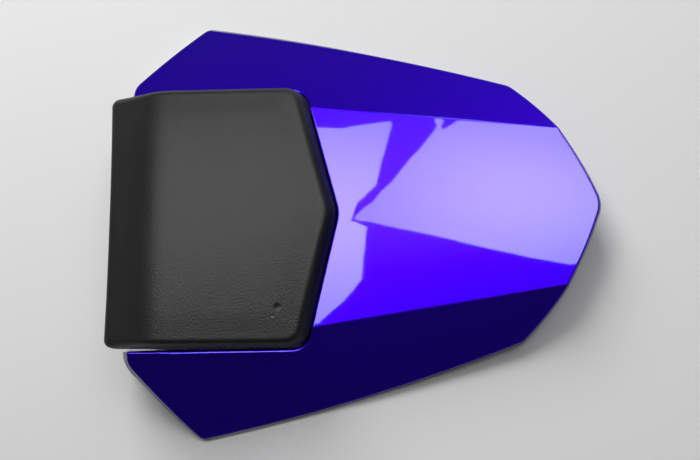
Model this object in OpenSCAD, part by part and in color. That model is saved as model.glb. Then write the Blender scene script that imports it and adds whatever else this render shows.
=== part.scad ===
// Seat cowl for a sports motorbike: a painted cover with a backrest pad, on a screwed inner base
// with a latch loop, a rear tongue and rubber buffers. Millimetres, +Z up, +X towards the tail.
// The origin is at the middle of the outer box, on the surface that the cowl rests on.

/* [Plan of the cowl] */
// Length from the pad's front edge to the tail tip
overall_length = 328; // [310:1:350]
// Width across the two wing corners
overall_width = 302; // [285:1:320]
// Distance of the wings' noses behind the pad's front edge
wing_setback = 17; // [14:0.5:24]
// Width of a wing's square-cut nose beside the pad
nose_width = 10; // [8:0.5:14]
// Plan radius between the nose and the wing's swept front edge
nose_round = 16; // [8:1:18]
// Distance of a wing corner behind the nose
wing_sweep = 41; // [36:1:50]
// Distance of the rear corners ahead of the tail tip
rear_corner_forward = 51; // [44:1:58]
// Width across the rear corners
rear_width = 174; // [164:1:184]
// Width across the creases' rear ends
crease_rear_width = 102; // [92:1:112]
// Angle of the tail's edges from square across
tail_slope = 24.5; // [22:0.5:27]
// Plan radius of the tail tip
tail_round = 18; // [10:1:20]
// Width across the creases where they meet the pad's opening
crease_front_width = 150; // [142:1:158]

/* [Heights of the cowl] */
// Height of the wing corners' edge
wing_corner_height = 2; // [1:0.25:4]
// Height of the creases where they meet the pad's opening
crease_front_height = 29.5; // [27:0.5:33]
// Height of the creases' rear ends
crease_rear_height = 23; // [21:0.5:25]
// Rise of the centre panel's middle over its creases
panel_crown = 2; // [0.5:0.25:4]

/* [Shell] */
// Wall of the painted moulding
shell_wall = 3; // [2:0.25:3.5]
// Radius of its outer edges
edge_round = 4; // [3.75:0.25:6]
// Angle by which the wings' front walls flare out towards their foot
front_flare = 26; // [15:1:28]
// Angle by which the noses' walls flare out towards their foot
nose_flare = 31; // [20:1:33]
// Angle by which the side walls tuck in towards their foot
side_tuck = 25; // [10:1:35]
// Angle by which the tail walls tuck in towards their foot
tail_tuck = 12; // [5:1:18]
// Rise of the side walls' arched foot over the ground
side_arch = 4; // [2:0.5:6]
// Rise of the front walls' foot beside the pad
front_relief = 10; // [4:0.5:14]

/* [Stiffening ribs of the shell] */
// Number of ribs across the centre panel
cross_ribs = 3; // [2:1:4]
// Distance of the ribs' ends from the creases, the opening and the tail
rib_margin = 14; // [12:1:20]
// Distance between the long ribs at their front ends
long_rib_spread = 52; // [40:1:60]
// Distance between the long ribs at their rear ends
long_rib_close = 36; // [24:1:40]
// Height of the ribs' free edge over the screw flange
rib_lift = 4; // [2:0.5:6]

/* [Pad opening] */
// Width of the opening between the wings
recess_width = 177; // [170:1:180]
// Distance of the opening's V point ahead of the tail tip
vee_forward = 168; // [160:1:175]
// Depth of the V from its corners to its point
vee_depth = 23; // [16:1:30]
// Plan radius of the opening's rear corners
recess_corner_round = 9; // [6:0.5:14]
// Plan radius of the V point
vee_round = 24; // [12:1:30]
// Depth of the turned-down wall round the opening
recess_wall_depth = 9; // [6:0.5:10]

/* [Pad] */
// Gap between the pad and the opening
pad_gap = 2.5; // [1.5:0.25:4]
// Amount by which the pad's sides lean in over their height
pad_lean = 7; // [3:0.5:10]
// Height of the pad's front edge
pad_front_height = 39; // [38:0.5:42]
// Height of the crease between the pad's front face and its top
pad_crease_height = 60; // [54:1:66]
// Distance of that crease behind the front edge
pad_crease_back = 34; // [26:1:42]
// Height of the pad's top at the V point
pad_point_height = 38; // [36:0.5:42]
// Rise of the pad's middle over its edges
pad_crown = 3; // [0:0.5:4]
// Radius of the pad's edges
pad_round = 6; // [4:0.5:8]
// Inset of the pad's foot from its widest line
pad_foot_inset = 1.5; // [0.5:0.25:3]
// Inset of the front edge's ends from the widest line
pad_front_tuck = 1; // [0:0.5:3]
// Height of the sides' widest line at the crease, as a share of the crease's height
pad_widest_share = 0.7; // [0.62:0.02:0.76]

/* [Pad plate] */
// Thickness of the plate under the foam
plate_thickness = 5; // [4:0.25:6]
// Inset of the plate from the pad's widest line
plate_inset = 4; // [3:0.5:8]
// Distance of the plate's front edge behind the pad's
plate_setback = 12; // [10:1:16]
// Plan radius of the plate's front corners
plate_round = 8; // [5:0.5:12]

/* [Base panel] */
// Wall of the inner moulding
base_wall = 2.5; // [2:0.25:3]
// Height of the pad platform at the V point
platform_height = 15.5; // [14.5:0.25:17]
// Slope of the platform, rising to the front
platform_tilt = 5.5; // [4.5:0.25:6.5]
// Gap between the platform's skirt and the opening
platform_inset = 4.5; // [4:0.25:8]
// Overhang of the pad past the platform's front
platform_setback = 15; // [10:0.5:20]
// Height of the screw flange's underside
flange_height = 9; // [8:0.25:10]
// Distance of the flange's front edge behind the wings' inner corners
flange_setback = 28; // [24:1:34]
// Gap between the flange and the shell's inner face
flange_gap = 2; // [1:0.25:4]
// Depth of the stiffening ribs under the platform
rib_depth = 6; // [4:0.5:8]
// Thickness of the ribs of both mouldings
rib_wall = 2; // [1.5:0.25:2.5]

// Distance of the long ribs' rear ends ahead of the V point
rib_end_forward = 24; // [20:1:30]
// Distance of the front buffers from the shell's inner face, at their heads
buffer_shell_gap = 0.6; // [0.5:0.1:2]

/* [Latch loop] */
// Distance of the loop behind the platform's front
striker_back = 40; // [34:1:48]
// Diameter of the loop's bar
striker_bar = 8; // [7:0.25:9]
// Distance between the middles of the loop's legs
striker_span = 28; // [25:0.5:32]
// Depth of the bar's middle under the platform
striker_drop = 16.5; // [15:0.5:17]
// Inner bend radius of the bar
striker_bend = 3; // [2:0.25:4]
// Length of the loop's steel plate, along the cowl
striker_plate_length = 30; // [24:1:36]
// Width of the steel plate, between the platform's long ribs
striker_plate_width = 72; // [70:1:84]
// Thickness of the steel plate
striker_plate = 3; // [2:0.25:3.5]
// Gap between the steel plate and the ribs beside it
striker_plate_gap = 0.5; // [0.3:0.1:2]
// Distance between the two bolts
striker_bolt_span = 50; // [47:0.5:54]

/* [Tongue] */
// Width of the rear tongue
tongue_width = 34; // [28:1:44]
// Thickness of its steel
tongue_steel = 2.5; // [2:0.25:2.75]
// Gap between the tongue and the flange
tongue_gap = 4.5; // [4.25:0.25:5]
// Distance of the tongue's tip ahead of the tail tip
tongue_forward = 17; // [15:0.5:24]
// Length of the tongue's free blade
tongue_blade = 22; // [16:1:26]
// Length of the tongue's seat under the flange
tongue_seat = 24; // [20:1:30]

/* [Fastener places] */
// Distance of the front pad screws behind the platform's front
pad_screw_front = 18; // [14:1:22]
// Distance of the rear pad screws ahead of the V point
pad_screw_back = 44; // [40:1:48]
// Distance between a left and a right pad screw
pad_screw_span = 120; // [110:1:130]
// Distance of the base's screws inside the flange's edge
panel_screw_edge = 14; // [12:1:16]
// Distance between the two screws under the tail
tail_screw_span = 48; // [44:1:52]

/* [Fasteners] */
// Thread diameter of the loop's bolts
striker_thread = 6; // [5:0.5:6]
// Thread diameter of the pad's screws and the tongue's bolts
small_thread = 5; // [4:0.5:5]
// Thread diameter of the base's self-tapping screws
panel_thread = 4; // [3.5:0.25:4.5]
// Length of the self-tapping screws under their head
panel_screw_length = 9.5; // [8:0.5:10]
// Thickness of every washer
washer = 1; // [0.75:0.25:1.25]
// Radial clearance of every fastener in its hole
hole_gap = 0.3; // [0.2:0.05:0.5]

/* [Buffers] */
// Diameter of the rubber buffers
buffer_diameter = 18; // [14:0.5:20]
// Height of the buffers under the flange
buffer_height = 7.5; // [6:0.25:7.75]
// Diameter of the buffers' necks
buffer_neck = 8; // [6:0.5:9]

/* [Hidden] */

// Plan points, with the right-hand (+Y) side standing for both
tail_x = overall_length / 2;
nose_x = -tail_x;
wing_nose_x = nose_x + wing_setback;
recess_half = recess_width / 2;
vee_x = tail_x - vee_forward;
vee_slope = vee_depth / recess_half;
vee_angle = atan(vee_slope);
// How far the tail's sharp point would stand past its rounded tip
tail_excess = tail_round * (1 / cos(tail_slope) - 1);
crease_end_x = tail_x + tail_excess - tan(tail_slope) * crease_rear_width / 2;
heart = [0, 0, 10];
below_ground = 12;

// A face is its outward unit normal and its distance from the origin
function unit(v) = v / norm(v);
function face(a, b, c) =
    let (n = unit(cross(b - a, c - a)), s = n * (a - heart) > 0 ? 1 : -1) [s * n, s * n * a];
// The face under an edge, whose foot moves out by the lean angle
function wall_face(a, b, lean) =
    let (n = unit([b.y - a.y, a.x - b.x, 0]), s = n * (a - heart) > 0 ? 1 : -1)
    face(a, b, a + s * n * tan(lean) - [0, 0, 1]);
// The point where three faces meet, each moved in by an inset
function meet(f, g, h, inset) =
    let (p = cross(g[0], h[0]), q = cross(h[0], f[0]), r = cross(f[0], g[0]))
    ((f[1] - inset) * p + (g[1] - inset) * q + (h[1] - inset) * r) / (f[0] * p);
// The height of a face over a plan point, and its reach in Y at a height
function height_on(f, x, y) = (f[1] - f[0].x * x - f[0].y * y) / f[0].z;
function reach_on(f, x, z) = (f[1] - f[0].x * x - f[0].z * z) / f[0].y;
function flip(p) = [p.x, -p.y, p.z];

// Sharp corners of the cowl
crease_front = [vee_x - vee_slope * crease_front_width / 2, crease_front_width / 2, crease_front_height];
crease_rear = [crease_end_x, crease_rear_width / 2, crease_rear_height];
wing_corner = [wing_nose_x + wing_sweep, overall_width / 2, wing_corner_height];
panel = face(crease_front, crease_rear, flip(crease_front));
facet = face(crease_front, crease_rear, wing_corner);
rear_x = tail_x - rear_corner_forward;
rear_corner = [rear_x, rear_width / 2, height_on(facet, rear_x, rear_width / 2)];
tail_point = [tail_x + tail_excess, 0, height_on(panel, tail_x + tail_excess, 0)];
wing_inner = [wing_nose_x, recess_half, height_on(facet, wing_nose_x, recess_half)];
nose_y = recess_half + nose_width;
nose_corner = [wing_nose_x, nose_y, height_on(facet, wing_nose_x, nose_y)];

// Walls of the cowl
nose_wall = wall_face(flip(wing_inner), wing_inner, nose_flare);
front_wall = wall_face(wing_corner, nose_corner, front_flare);
side_wall = wall_face(wing_corner, rear_corner, -side_tuck);
corner_wall = wall_face(rear_corner, crease_rear, -tail_tuck);
tail_wall = wall_face(crease_rear, tail_point, -tail_tuck);
tail_wall_flip = [flip(tail_wall[0]), tail_wall[1]];
ground = [[0, 0, -1], below_ground];

// Centres of the edge rounds, so that the outer and inner skins share them
panel_front = meet(panel, facet, nose_wall, edge_round);
panel_corner = meet(panel, corner_wall, tail_wall, edge_round);
panel_point = meet(panel, tail_wall, tail_wall_flip, edge_round);

// A corner of the plan rounded by an arc: at each angle the wall is the plane that touches the arc,
// and gives a centre under the top face and one at the foot
function arc_wall(top, centre, r, angle, lean) =
    let (p = centre + r * [cos(angle), sin(angle)], q = p + [-sin(angle), cos(angle)])
    wall_face([p.x, p.y, height_on(top, p.x, p.y)], [q.x, q.y, height_on(top, q.x, q.y)], lean);
function arc_centres(top, centre, r, angles, leans, inset) =
    [for (i = [0:arc_steps])
        let (share = i / arc_steps, angle = angles[0] + share * (angles[1] - angles[0]),
             wall = arc_wall(top, centre, r, angle, leans[0] + share * (leans[1] - leans[0])),
             side = [-sin(angle), cos(angle), 0], radial = [side, side * [centre.x, centre.y, 0] + inset])
        each [meet(top, wall, radial, inset), meet(wall, radial, ground, inset)]];
arc_steps = 4;
sweep_angle = atan2(nose_corner.x - wing_corner.x, wing_corner.y - nose_y);
nose_tangent = nose_round * tan(-sweep_angle / 2);
nose_centre = [wing_nose_x + nose_round, nose_y - nose_tangent];
nose_centres = arc_centres(facet, nose_centre, nose_round, [180, 180 + sweep_angle],
                           [nose_flare, front_flare], edge_round);
tip_centres = arc_centres(panel, [tail_x - tail_round, 0], tail_round, [0, tail_slope],
                          [-tail_tuck, -tail_tuck], edge_round);
side_centres = concat(nose_centres, tip_centres, [
    panel_front, panel_corner,
    meet(facet, front_wall, side_wall, edge_round),
    meet(facet, side_wall, corner_wall, edge_round),
    meet(facet, panel, corner_wall, edge_round),
    meet(front_wall, side_wall, ground, edge_round),
    meet(side_wall, corner_wall, ground, edge_round),
    meet(corner_wall, tail_wall, ground, edge_round)
]);
crown_steps = [0, 0.35, 0.7];
function crown_rise(t) = [0, 0, panel_crown * (1 - t * t)];
crown_centres = [for (t = crown_steps, p = [[panel_front.x, t * panel_front.y, panel_front.z],
                                            t == 0 ? tip_centres[0] : panel_point + t * (panel_corner - panel_point)])
                 p + crown_rise(t)];

// A closed outline with its corners rounded by arcs
outline_steps = 6;
function corner_arc(a, b, c, r) =
    let (u = unit(a - b), w = unit(c - b), half = acos(u * w) / 2, middle = b + unit(u + w) * r / sin(half),
         from = b + u * r / tan(half) - middle, to = b + w * r / tan(half) - middle, turn = 180 - 2 * half)
    [for (i = [0:outline_steps])
        middle + (from * sin(turn * (1 - i / outline_steps)) + to * sin(turn * i / outline_steps)) / sin(turn)];
function rounded(points, radii) = let (n = len(points))
    [for (i = [0:n - 1]) each corner_arc(points[(i + n - 1) % n], points[i], points[(i + 1) % n], radii[i])];

// The outline of the pad's opening, grown by an amount, from a front edge with its own radius
function opening_outline(grow, front, front_round) =
    let (h = recess_half + grow, tip = vee_x + grow * norm([1, vee_slope]), back = tip - vee_slope * h)
    rounded([[front, -h], [back, -h], [tip, 0], [back, h], [front, h]],
            [front_round, recess_corner_round + grow, vee_round + grow, recess_corner_round + grow,
             front_round]);

// Tall enough to pass through everything
through = 120;
front_clear = nose_x - through;

// Pad platform
platform_x = nose_x + platform_setback;
platform_z_front = platform_height + (vee_x - platform_x) * tan(platform_tilt);
skirt_round = 6;
flange_top = flange_height + base_wall;

// Screw flange: outer edge inside the facets' inner face, clear of the tail walls
flange_front_x = wing_nose_x + flange_setback;
facet_lift = flange_top + (shell_wall + flange_gap) / facet[0].z;
wall_clear = shell_wall + flange_gap + edge_round;
flange_margin = 4;
flange_wing_x = wing_corner.x + flange_margin + flange_gap;
flange_rear_x = rear_corner.x - wall_clear - flange_margin;
flange_tail_x = crease_rear.x - wall_clear - flange_margin;
flange_tip_x = tail_x - wall_clear - flange_margin;
flange_tail_half = crease_rear.y - wall_clear - flange_margin;
flange_round = 8;
flange_front_round = 4;
flange_outline = rounded(
    let (skirt = recess_half - platform_inset,
         a = [flange_front_x, skirt], b = [flange_wing_x, reach_on(facet, flange_wing_x, facet_lift)],
         c = [flange_rear_x, reach_on(facet, flange_rear_x, facet_lift)], d = [flange_tail_x, flange_tail_half])
    [[a.x, -a.y], [b.x, -b.y], [c.x, -c.y], [d.x, -d.y], [flange_tip_x, 0], d, c, b, a],
    [flange_front_round, for (i = [1:7]) flange_round, flange_front_round]);

// Fastener places, with a side screw near each end of the flange and one midway
side_screw_front = flange_wing_x + panel_screw_edge - 2;
side_screw_rear = flange_rear_x - panel_screw_edge + 6;
panel_screw_places =
    [for (x = [side_screw_front, (side_screw_front + side_screw_rear) / 2, side_screw_rear], s = [-1, 1])
        [x, s * (reach_on(facet, x, facet_lift) - panel_screw_edge)],
     for (s = [-1, 1]) [flange_tail_x - flange_gap, s * tail_screw_span / 2]];
pad_screw_rear_x = vee_x - pad_screw_back;
pad_screw_places = [for (x = [platform_x + pad_screw_front, pad_screw_rear_x], s = [-1, 1])
                    [x, s * pad_screw_span / 2]];
striker_x = platform_x + striker_back;
striker_bolt_places = [for (s = [-1, 1]) [striker_x, s * striker_bolt_span / 2]];
tongue_tip_x = tail_x - tongue_forward;
tongue_seat_x = tongue_tip_x - tongue_blade - tongue_seat;
tongue_bolt_edge = 8;
tongue_bolt_x = tongue_seat_x + tongue_seat / 2 - 3;
tongue_bolt_places = [for (s = [-1, 1]) [tongue_bolt_x, s * (tongue_width / 2 - tongue_bolt_edge)]];

// Buffers: the front pair as far out as their heads fit under the facets, the rear pair under the tail
buffer_head = 3;
buffer_chamfer = 1.5;
buffer_snap = buffer_neck / 2 + 1.2;
buffer_head_lift = flange_top + buffer_head + (shell_wall + buffer_shell_gap) / facet[0].z;
buffer_front_x = flange_wing_x + 40;
buffer_front_place = [buffer_front_x, reach_on(facet, buffer_front_x, buffer_head_lift) - buffer_snap];
buffer_rear_place = [flange_rear_x - 24, crease_rear.y - 11];

// Fastener sizes as shares of the thread
panel_hole = panel_thread + 2 * hole_gap;
small_hole = small_thread + 2 * hole_gap;
striker_hole = striker_thread + 2 * hole_gap;
boss_diameter = panel_thread + 5;
pilot_end_gap = 1;
head_ratio = 1.9;
head_rise_ratio = 0.55;
head_step_ratio = 0.8;
socket_ratio = 0.6;
washer_ratio = 2.2;
nut_ratio = 1.8;
nut_height_ratio = 0.8;
insert_diameter = small_thread + 3;
// Radial gap round the heads of the loop's bolts
head_gap = 1.5;
// Bores that a welded bar or a screwed-in thread fills
tight_gap = 0.02;

module each_side(s) {
    if (s > 0) children();
    else mirror([0, 1, 0]) children();
}

// Moves a shape from flat ground onto the sloping pad platform
module on_platform() {
    translate([vee_x, 0, platform_height]) rotate([0, platform_tilt, 0]) translate([-vee_x, 0, 0]) children();
}

module below_platform(offset_z) {
    on_platform() translate([-2 * tail_x, -overall_width, offset_z - through])
        cube([4 * tail_x, 2 * overall_width, through]);
}

// The whole outer form of the cowl, with its skin moved in
module cowl_form(inset) {
    hull() {
        for (p = concat(side_centres, crown_centres))
            for (q = [p, flip(p)])
                translate(q) sphere(r = edge_round - inset, $fn = 24);
    }
}

module opening_prism(grow) {
    translate([0, 0, -through]) linear_extrude(2 * through)
        polygon(opening_outline(grow, front_clear, 1));
}

// Half the width of the centre panel between its creases
function panel_half(x) = crease_front.y
    + (crease_rear.y - crease_front.y) * (x - crease_front.x) / (crease_rear.x - crease_front.x);

// A rib under the centre panel, thinner at its free edge as moulded
rib_draft = 0.7;
module panel_rib(a, b, z) {
    hull() {
        for (p = [a, b]) {
            translate([p.x, p.y, z]) cylinder(d = rib_wall * rib_draft, h = 1, $fn = 12);
            translate([p.x, p.y, z + through]) cylinder(d = rib_wall, h = 1, $fn = 12);
        }
    }
}

module cowl_shell() {
    rib_z = flange_top + rib_lift;
    rib_front = vee_x + rib_margin;
    rib_rear = crease_rear.x - rib_margin;
    rib_step = (rib_rear - rib_front) / (cross_ribs + 1);
    color("mediumblue") difference() {
        union() {
            difference() {
                cowl_form(0);
                cowl_form(shell_wall);
            }
            // The turned-down wall round the opening
            intersection() {
                opening_prism(shell_wall);
                difference() {
                    cowl_form(0);
                    translate([0, 0, -recess_wall_depth]) cowl_form(0);
                }
            }
            // Screw bosses and ribs, up to the inner skin
            intersection() {
                cowl_form(shell_wall / 2);
                union() {
                    for (p = panel_screw_places)
                        translate([p.x, p.y, flange_top + hole_gap]) cylinder(d = boss_diameter, h = through, $fn = 32);
                    for (i = [1:cross_ribs])
                        let (x = rib_front + i * rib_step, half = panel_half(x) - rib_margin)
                            panel_rib([x, -half], [x, half], rib_z);
                    for (s = [-1, 1])
                        panel_rib([rib_front, s * long_rib_spread / 2], [rib_rear, s * long_rib_close / 2], rib_z);
                }
            }
        }
        opening_prism(0);
        // The ground plane, the arched sides and the raised foot of the front walls
        translate([-2 * tail_x, -overall_width, -2 * through]) cube([4 * tail_x, 2 * overall_width, 2 * through]);
        side_arch_cut();
        for (s = [-1, 1]) each_side(s) front_relief_cut();
        for (p = panel_screw_places)
            translate([p.x, p.y, 0])
                cylinder(d = panel_hole, h = flange_height - washer + panel_screw_length + pilot_end_gap, $fn = 32);
    }
}

// Distance of the arch's ends from the side walls' corners
side_arch_inset = 12;

// A long flat arch that lifts the side walls off the ground between the wing and the rear corner
module side_arch_cut() {
    from = wing_corner.x + side_arch_inset;
    to = rear_corner.x - side_arch_inset;
    chord = (to - from) / 2;
    radius = (chord * chord + side_arch * side_arch) / (2 * side_arch);
    translate([from + chord, 0, side_arch - radius]) rotate([90, 0, 0])
        cylinder(r = radius, h = 2 * overall_width, center = true, $fn = 720);
}

module front_relief_cut() {
    far_y = wing_corner.y - side_arch_inset;
    near_y = recess_half - shell_wall;
    translate([front_clear, 0, 0]) rotate([90, 0, 90]) linear_extrude(wing_corner.x - front_clear)
        polygon([[near_y, -1], [far_y, -1], [far_y, 0], [near_y, front_relief]]);
}

module base_panel() {
    skirt_in = -platform_inset - base_wall;
    color("dimgray") difference() {
        union() {
            intersection() {
                translate([0, 0, flange_height]) linear_extrude(through)
                    polygon(opening_outline(-platform_inset, platform_x, skirt_round));
                below_platform(0);
            }
            translate([0, 0, flange_height]) linear_extrude(base_wall) polygon(flange_outline);
        }
        // The hollow under the platform, between its ribs
        difference() {
            intersection() {
                translate([0, 0, -1]) linear_extrude(through)
                    polygon(opening_outline(skirt_in, platform_x + base_wall, skirt_round - base_wall));
                below_platform(-base_wall);
            }
            platform_ribs();
        }
        on_platform() {
            for (p = pad_screw_places)
                translate([p.x, p.y, -through / 2]) cylinder(d = small_hole, h = through, $fn = 32);
            for (p = striker_bolt_places)
                translate([p.x, p.y, -through / 2]) cylinder(d = striker_hole, h = through, $fn = 32);
        }
        for (p = panel_screw_places)
            translate([p.x, p.y, 0]) cylinder(d = panel_hole, h = through, $fn = 32);
        for (p = tongue_bolt_places)
            translate([p.x, p.y, 0]) cylinder(d = small_hole, h = through, $fn = 32);
        for (p = [buffer_front_place, buffer_rear_place], s = [-1, 1])
            translate([p.x, s * p.y, 0]) cylinder(d = buffer_neck + 2 * hole_gap, h = through, $fn = 32);
    }
}

// Two long ribs and a cross rib, hanging from the platform
module platform_ribs() {
    rib_back = vee_x - rib_end_forward;
    cross_x = (striker_x + striker_plate_length / 2 + pad_screw_rear_x - rib_wall) / 2;
    rib_y = striker_plate_width / 2 + striker_plate_gap + rib_wall / 2;
    intersection() {
        on_platform() {
            for (s = [-1, 1])
                translate([platform_x, s * rib_y - rib_wall / 2, -base_wall - rib_depth])
                    cube([rib_back - platform_x, rib_wall, rib_depth + base_wall]);
            translate([cross_x, -recess_half, -base_wall - rib_depth])
                cube([rib_wall, recess_width, rib_depth + base_wall]);
        }
        translate([0, 0, flange_height]) linear_extrude(through)
            polygon(opening_outline(-platform_inset, platform_x, skirt_round));
    }
}

// The pad: a crowned cushion with a sloping front face, leaning sides and a V back
module backrest_pad() {
    half = recess_half - pad_gap;
    back = vee_x - pad_gap * norm([1, vee_slope]);
    corner_x = back - vee_slope * half;
    crease_x = nose_x + pad_crease_back;
    top_slope = (pad_crease_height - pad_point_height) / (back - crease_x);
    top_half = half - pad_lean - pad_round;
    side = half - pad_round;
    foot_z = platform_height + plate_thickness;
    top_rear_x = corner_x - pad_round;
    color("dimgray") difference() {
        hull() {
            // The top, crowned across its width and sloping down from the crease
            for (x = [crease_x, (crease_x + top_rear_x) / 2, top_rear_x], t = [0, 0.35, 0.7, 1], s = [-1, 1])
                translate([x, s * t * top_half,
                           pad_crease_height - pad_round - (x - crease_x) * top_slope + pad_crown * (1 - t * t)])
                    sphere(r = pad_round, $fn = 24);
            for (s = [-1, 1]) {
                // Front edge, then the sides' widest line at the crease and at the rear corner
                translate([nose_x + pad_round, s * (side - pad_front_tuck), pad_front_height])
                    sphere(r = pad_round, $fn = 24);
                translate([crease_x, s * side, pad_crease_height * pad_widest_share]) sphere(r = pad_round, $fn = 24);
                translate([top_rear_x, s * side, crease_front_height]) sphere(r = pad_round, $fn = 24);
                // Foot
                translate([top_rear_x, s * (side - pad_foot_inset), foot_z]) cylinder(r = pad_round, h = 1, $fn = 24);
                translate([nose_x + 2 * pad_round, s * (side - pad_foot_inset), pad_front_height - pad_round])
                    cylinder(r = pad_round, h = 1, $fn = 24);
            }
            // The V point, as a part of a wide disc with a rolled upper edge
            for (angle = [-1, 0, 1] * vee_angle)
                translate([back - vee_round, 0, 0]) rotate(angle) {
                    translate([vee_round - pad_round - pad_foot_inset, 0, foot_z])
                        cylinder(r = pad_round, h = 1, $fn = 24);
                    translate([vee_round - pad_round, 0, crease_front_height])
                        sphere(r = pad_round, $fn = 24);
                    translate([vee_round - pad_round - pad_lean / 2, 0, pad_point_height - pad_round])
                        sphere(r = pad_round, $fn = 24);
                }
        }
        below_platform(plate_thickness);
    }
}

module pad_base() {
    grow = -pad_gap - plate_inset;
    color("black") on_platform() difference() {
        linear_extrude(plate_thickness) polygon(opening_outline(grow, nose_x + plate_setback, plate_round));
        for (p = pad_screw_places)
            translate([p.x, p.y, -1]) cylinder(d = insert_diameter, h = plate_thickness + 2, $fn = 48);
        for (p = striker_bolt_places)
            translate([p.x, p.y, -1])
                cylinder(d = striker_thread * head_ratio + 2 * head_gap, h = plate_thickness + 2, $fn = 48);
    }
}

// A pan-head screw pointing up from its head at z = 0
module pan_screw(thread, length) {
    head = thread * head_ratio;
    rise = thread * head_rise_ratio;
    translate([0, 0, -rise]) difference() {
        union() {
            cylinder(d = head * head_step_ratio, h = rise / 2, $fn = 48);
            translate([0, 0, rise / 2]) cylinder(d = head, h = rise / 2, $fn = 48);
        }
        translate([0, 0, -1]) cylinder(d = thread * socket_ratio, h = 1 + rise * socket_ratio, $fn = 6);
    }
    cylinder(d = thread, h = length, $fn = 48);
}

module ring(inner, outer, height) {
    difference() {
        cylinder(d = outer, h = height, $fn = 48);
        translate([0, 0, -1]) cylinder(d = inner, h = height + 2, $fn = 48);
    }
}

module hex_nut(thread, height) {
    difference() {
        cylinder(d = thread * nut_ratio, h = height, $fn = 6);
        translate([0, 0, -1]) cylinder(d = thread + tight_gap, h = height + 2, $fn = 48);
    }
}

module pad_screws() {
    color("silver") on_platform() for (p = pad_screw_places)
        translate([p.x, p.y, -base_wall - washer]) pan_screw(small_thread, base_wall + washer + plate_thickness - 0.5);
}

module pad_washers() {
    color("silver") on_platform() for (p = pad_screw_places)
        translate([p.x, p.y, -base_wall - washer]) ring(small_hole, small_thread * washer_ratio, washer);
}

module pad_inserts() {
    color("goldenrod") on_platform() for (p = pad_screw_places)
        translate([p.x, p.y, 0]) ring(small_thread + tight_gap, insert_diameter, plate_thickness);
}

module striker_bracket() {
    length = striker_plate_length;
    width = striker_plate_width;
    lip = 5;
    color("silver") on_platform() difference() {
        translate([striker_x, 0, -base_wall]) union() {
            translate([-length / 2, -width / 2, -striker_plate]) cube([length, width, striker_plate]);
            for (s = [-1, 1]) each_side(s)
                translate([-length / 2, width / 2 - striker_plate, -striker_plate - lip])
                    cube([length, striker_plate, lip + striker_plate]);
        }
        for (p = striker_bolt_places)
            translate([p.x, p.y, -through / 2]) cylinder(d = striker_hole, h = through, $fn = 32);
        for (s = [-1, 1])
            translate([striker_x, s * striker_span / 2, -through / 2])
                cylinder(d = striker_bar + tight_gap, h = through, $fn = 48);
    }
}

// A bar bent to a U: its legs are welded into the plate, its bridge hangs below
module striker_loop() {
    bend = striker_bend + striker_bar / 2;
    straight = striker_span / 2 - bend;
    color("gainsboro") on_platform() translate([striker_x, 0, -base_wall]) {
        for (s = [-1, 1]) each_side(s) {
            translate([0, striker_span / 2, -striker_drop + bend])
                cylinder(d = striker_bar, h = striker_drop - bend, $fn = 48);
            translate([0, straight, -striker_drop + bend]) rotate([-90, 0, 90])
                rotate_extrude(angle = 90, $fn = 48) translate([bend, 0]) circle(d = striker_bar, $fn = 48);
        }
        translate([0, 0, -striker_drop]) rotate([90, 0, 0])
            cylinder(d = striker_bar, h = 2 * straight, center = true, $fn = 48);
    }
}

module striker_bolts() {
    head = striker_thread * head_ratio;
    rise = striker_thread * head_rise_ratio;
    length = base_wall + striker_plate + striker_thread;
    color("silver") on_platform() for (p = striker_bolt_places) translate([p.x, p.y, 0]) {
        cylinder(d = head, h = rise / 2, $fn = 48);
        translate([0, 0, rise / 2]) cylinder(d = head * head_step_ratio, h = rise / 2, $fn = 48);
        translate([0, 0, -length]) cylinder(d = striker_thread, h = length, $fn = 48);
    }
}

module striker_nuts() {
    height = striker_thread * nut_height_ratio;
    color("silver") on_platform() for (p = striker_bolt_places)
        translate([p.x, p.y, -base_wall - striker_plate - height]) hex_nut(striker_thread, height);
}

// A folded steel tongue: its seat lies under the flange, its blade runs towards the tail
module tail_tongue() {
    drop = tongue_gap;
    step_x = tongue_seat_x + tongue_seat;
    z = flange_height - tongue_steel;
    color("silver") difference() {
        translate([0, tongue_width / 2, 0]) rotate([90, 0, 0]) linear_extrude(tongue_width) polygon([
            [tongue_seat_x, z], [step_x, z], [step_x + drop, z - drop], [tongue_tip_x, z - drop],
            [tongue_tip_x, z - drop + tongue_steel], [step_x + drop + tongue_steel / 2, z - drop + tongue_steel],
            [step_x + tongue_steel / 2, z + tongue_steel], [tongue_seat_x, z + tongue_steel]]);
        for (p = tongue_bolt_places)
            translate([p.x, p.y, 0]) cylinder(d = small_hole, h = through, $fn = 32);
    }
}

module tongue_bolts() {
    length = tongue_steel + base_wall + small_thread;
    color("silver") for (p = tongue_bolt_places)
        translate([p.x, p.y, flange_height - tongue_steel]) pan_screw(small_thread, length);
}

module tongue_nuts() {
    color("silver") for (p = tongue_bolt_places)
        translate([p.x, p.y, flange_top]) hex_nut(small_thread, small_thread * nut_height_ratio);
}

// A rubber buffer: foot, neck through the flange, and a head that snaps over it
module buffer(place, s) {
    foot = buffer_diameter / 2;
    neck = buffer_neck / 2;
    top = buffer_height + base_wall;
    color("black") translate([place.x, s * place.y, flange_height - buffer_height]) rotate_extrude($fn = 64)
        polygon([[0, 0], [foot - buffer_chamfer, 0], [foot, buffer_chamfer], [foot, buffer_height],
                 [neck, buffer_height], [neck, top], [buffer_snap, top],
                 [neck - buffer_chamfer, top + buffer_head], [0, top + buffer_head]]);
}

module panel_screws() {
    color("silver") for (p = panel_screw_places)
        translate([p.x, p.y, flange_height - washer]) pan_screw(panel_thread, panel_screw_length);
}

module panel_washers() {
    color("silver") for (p = panel_screw_places)
        translate([p.x, p.y, flange_height - washer]) ring(panel_hole, panel_thread * washer_ratio, washer);
}

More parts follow.
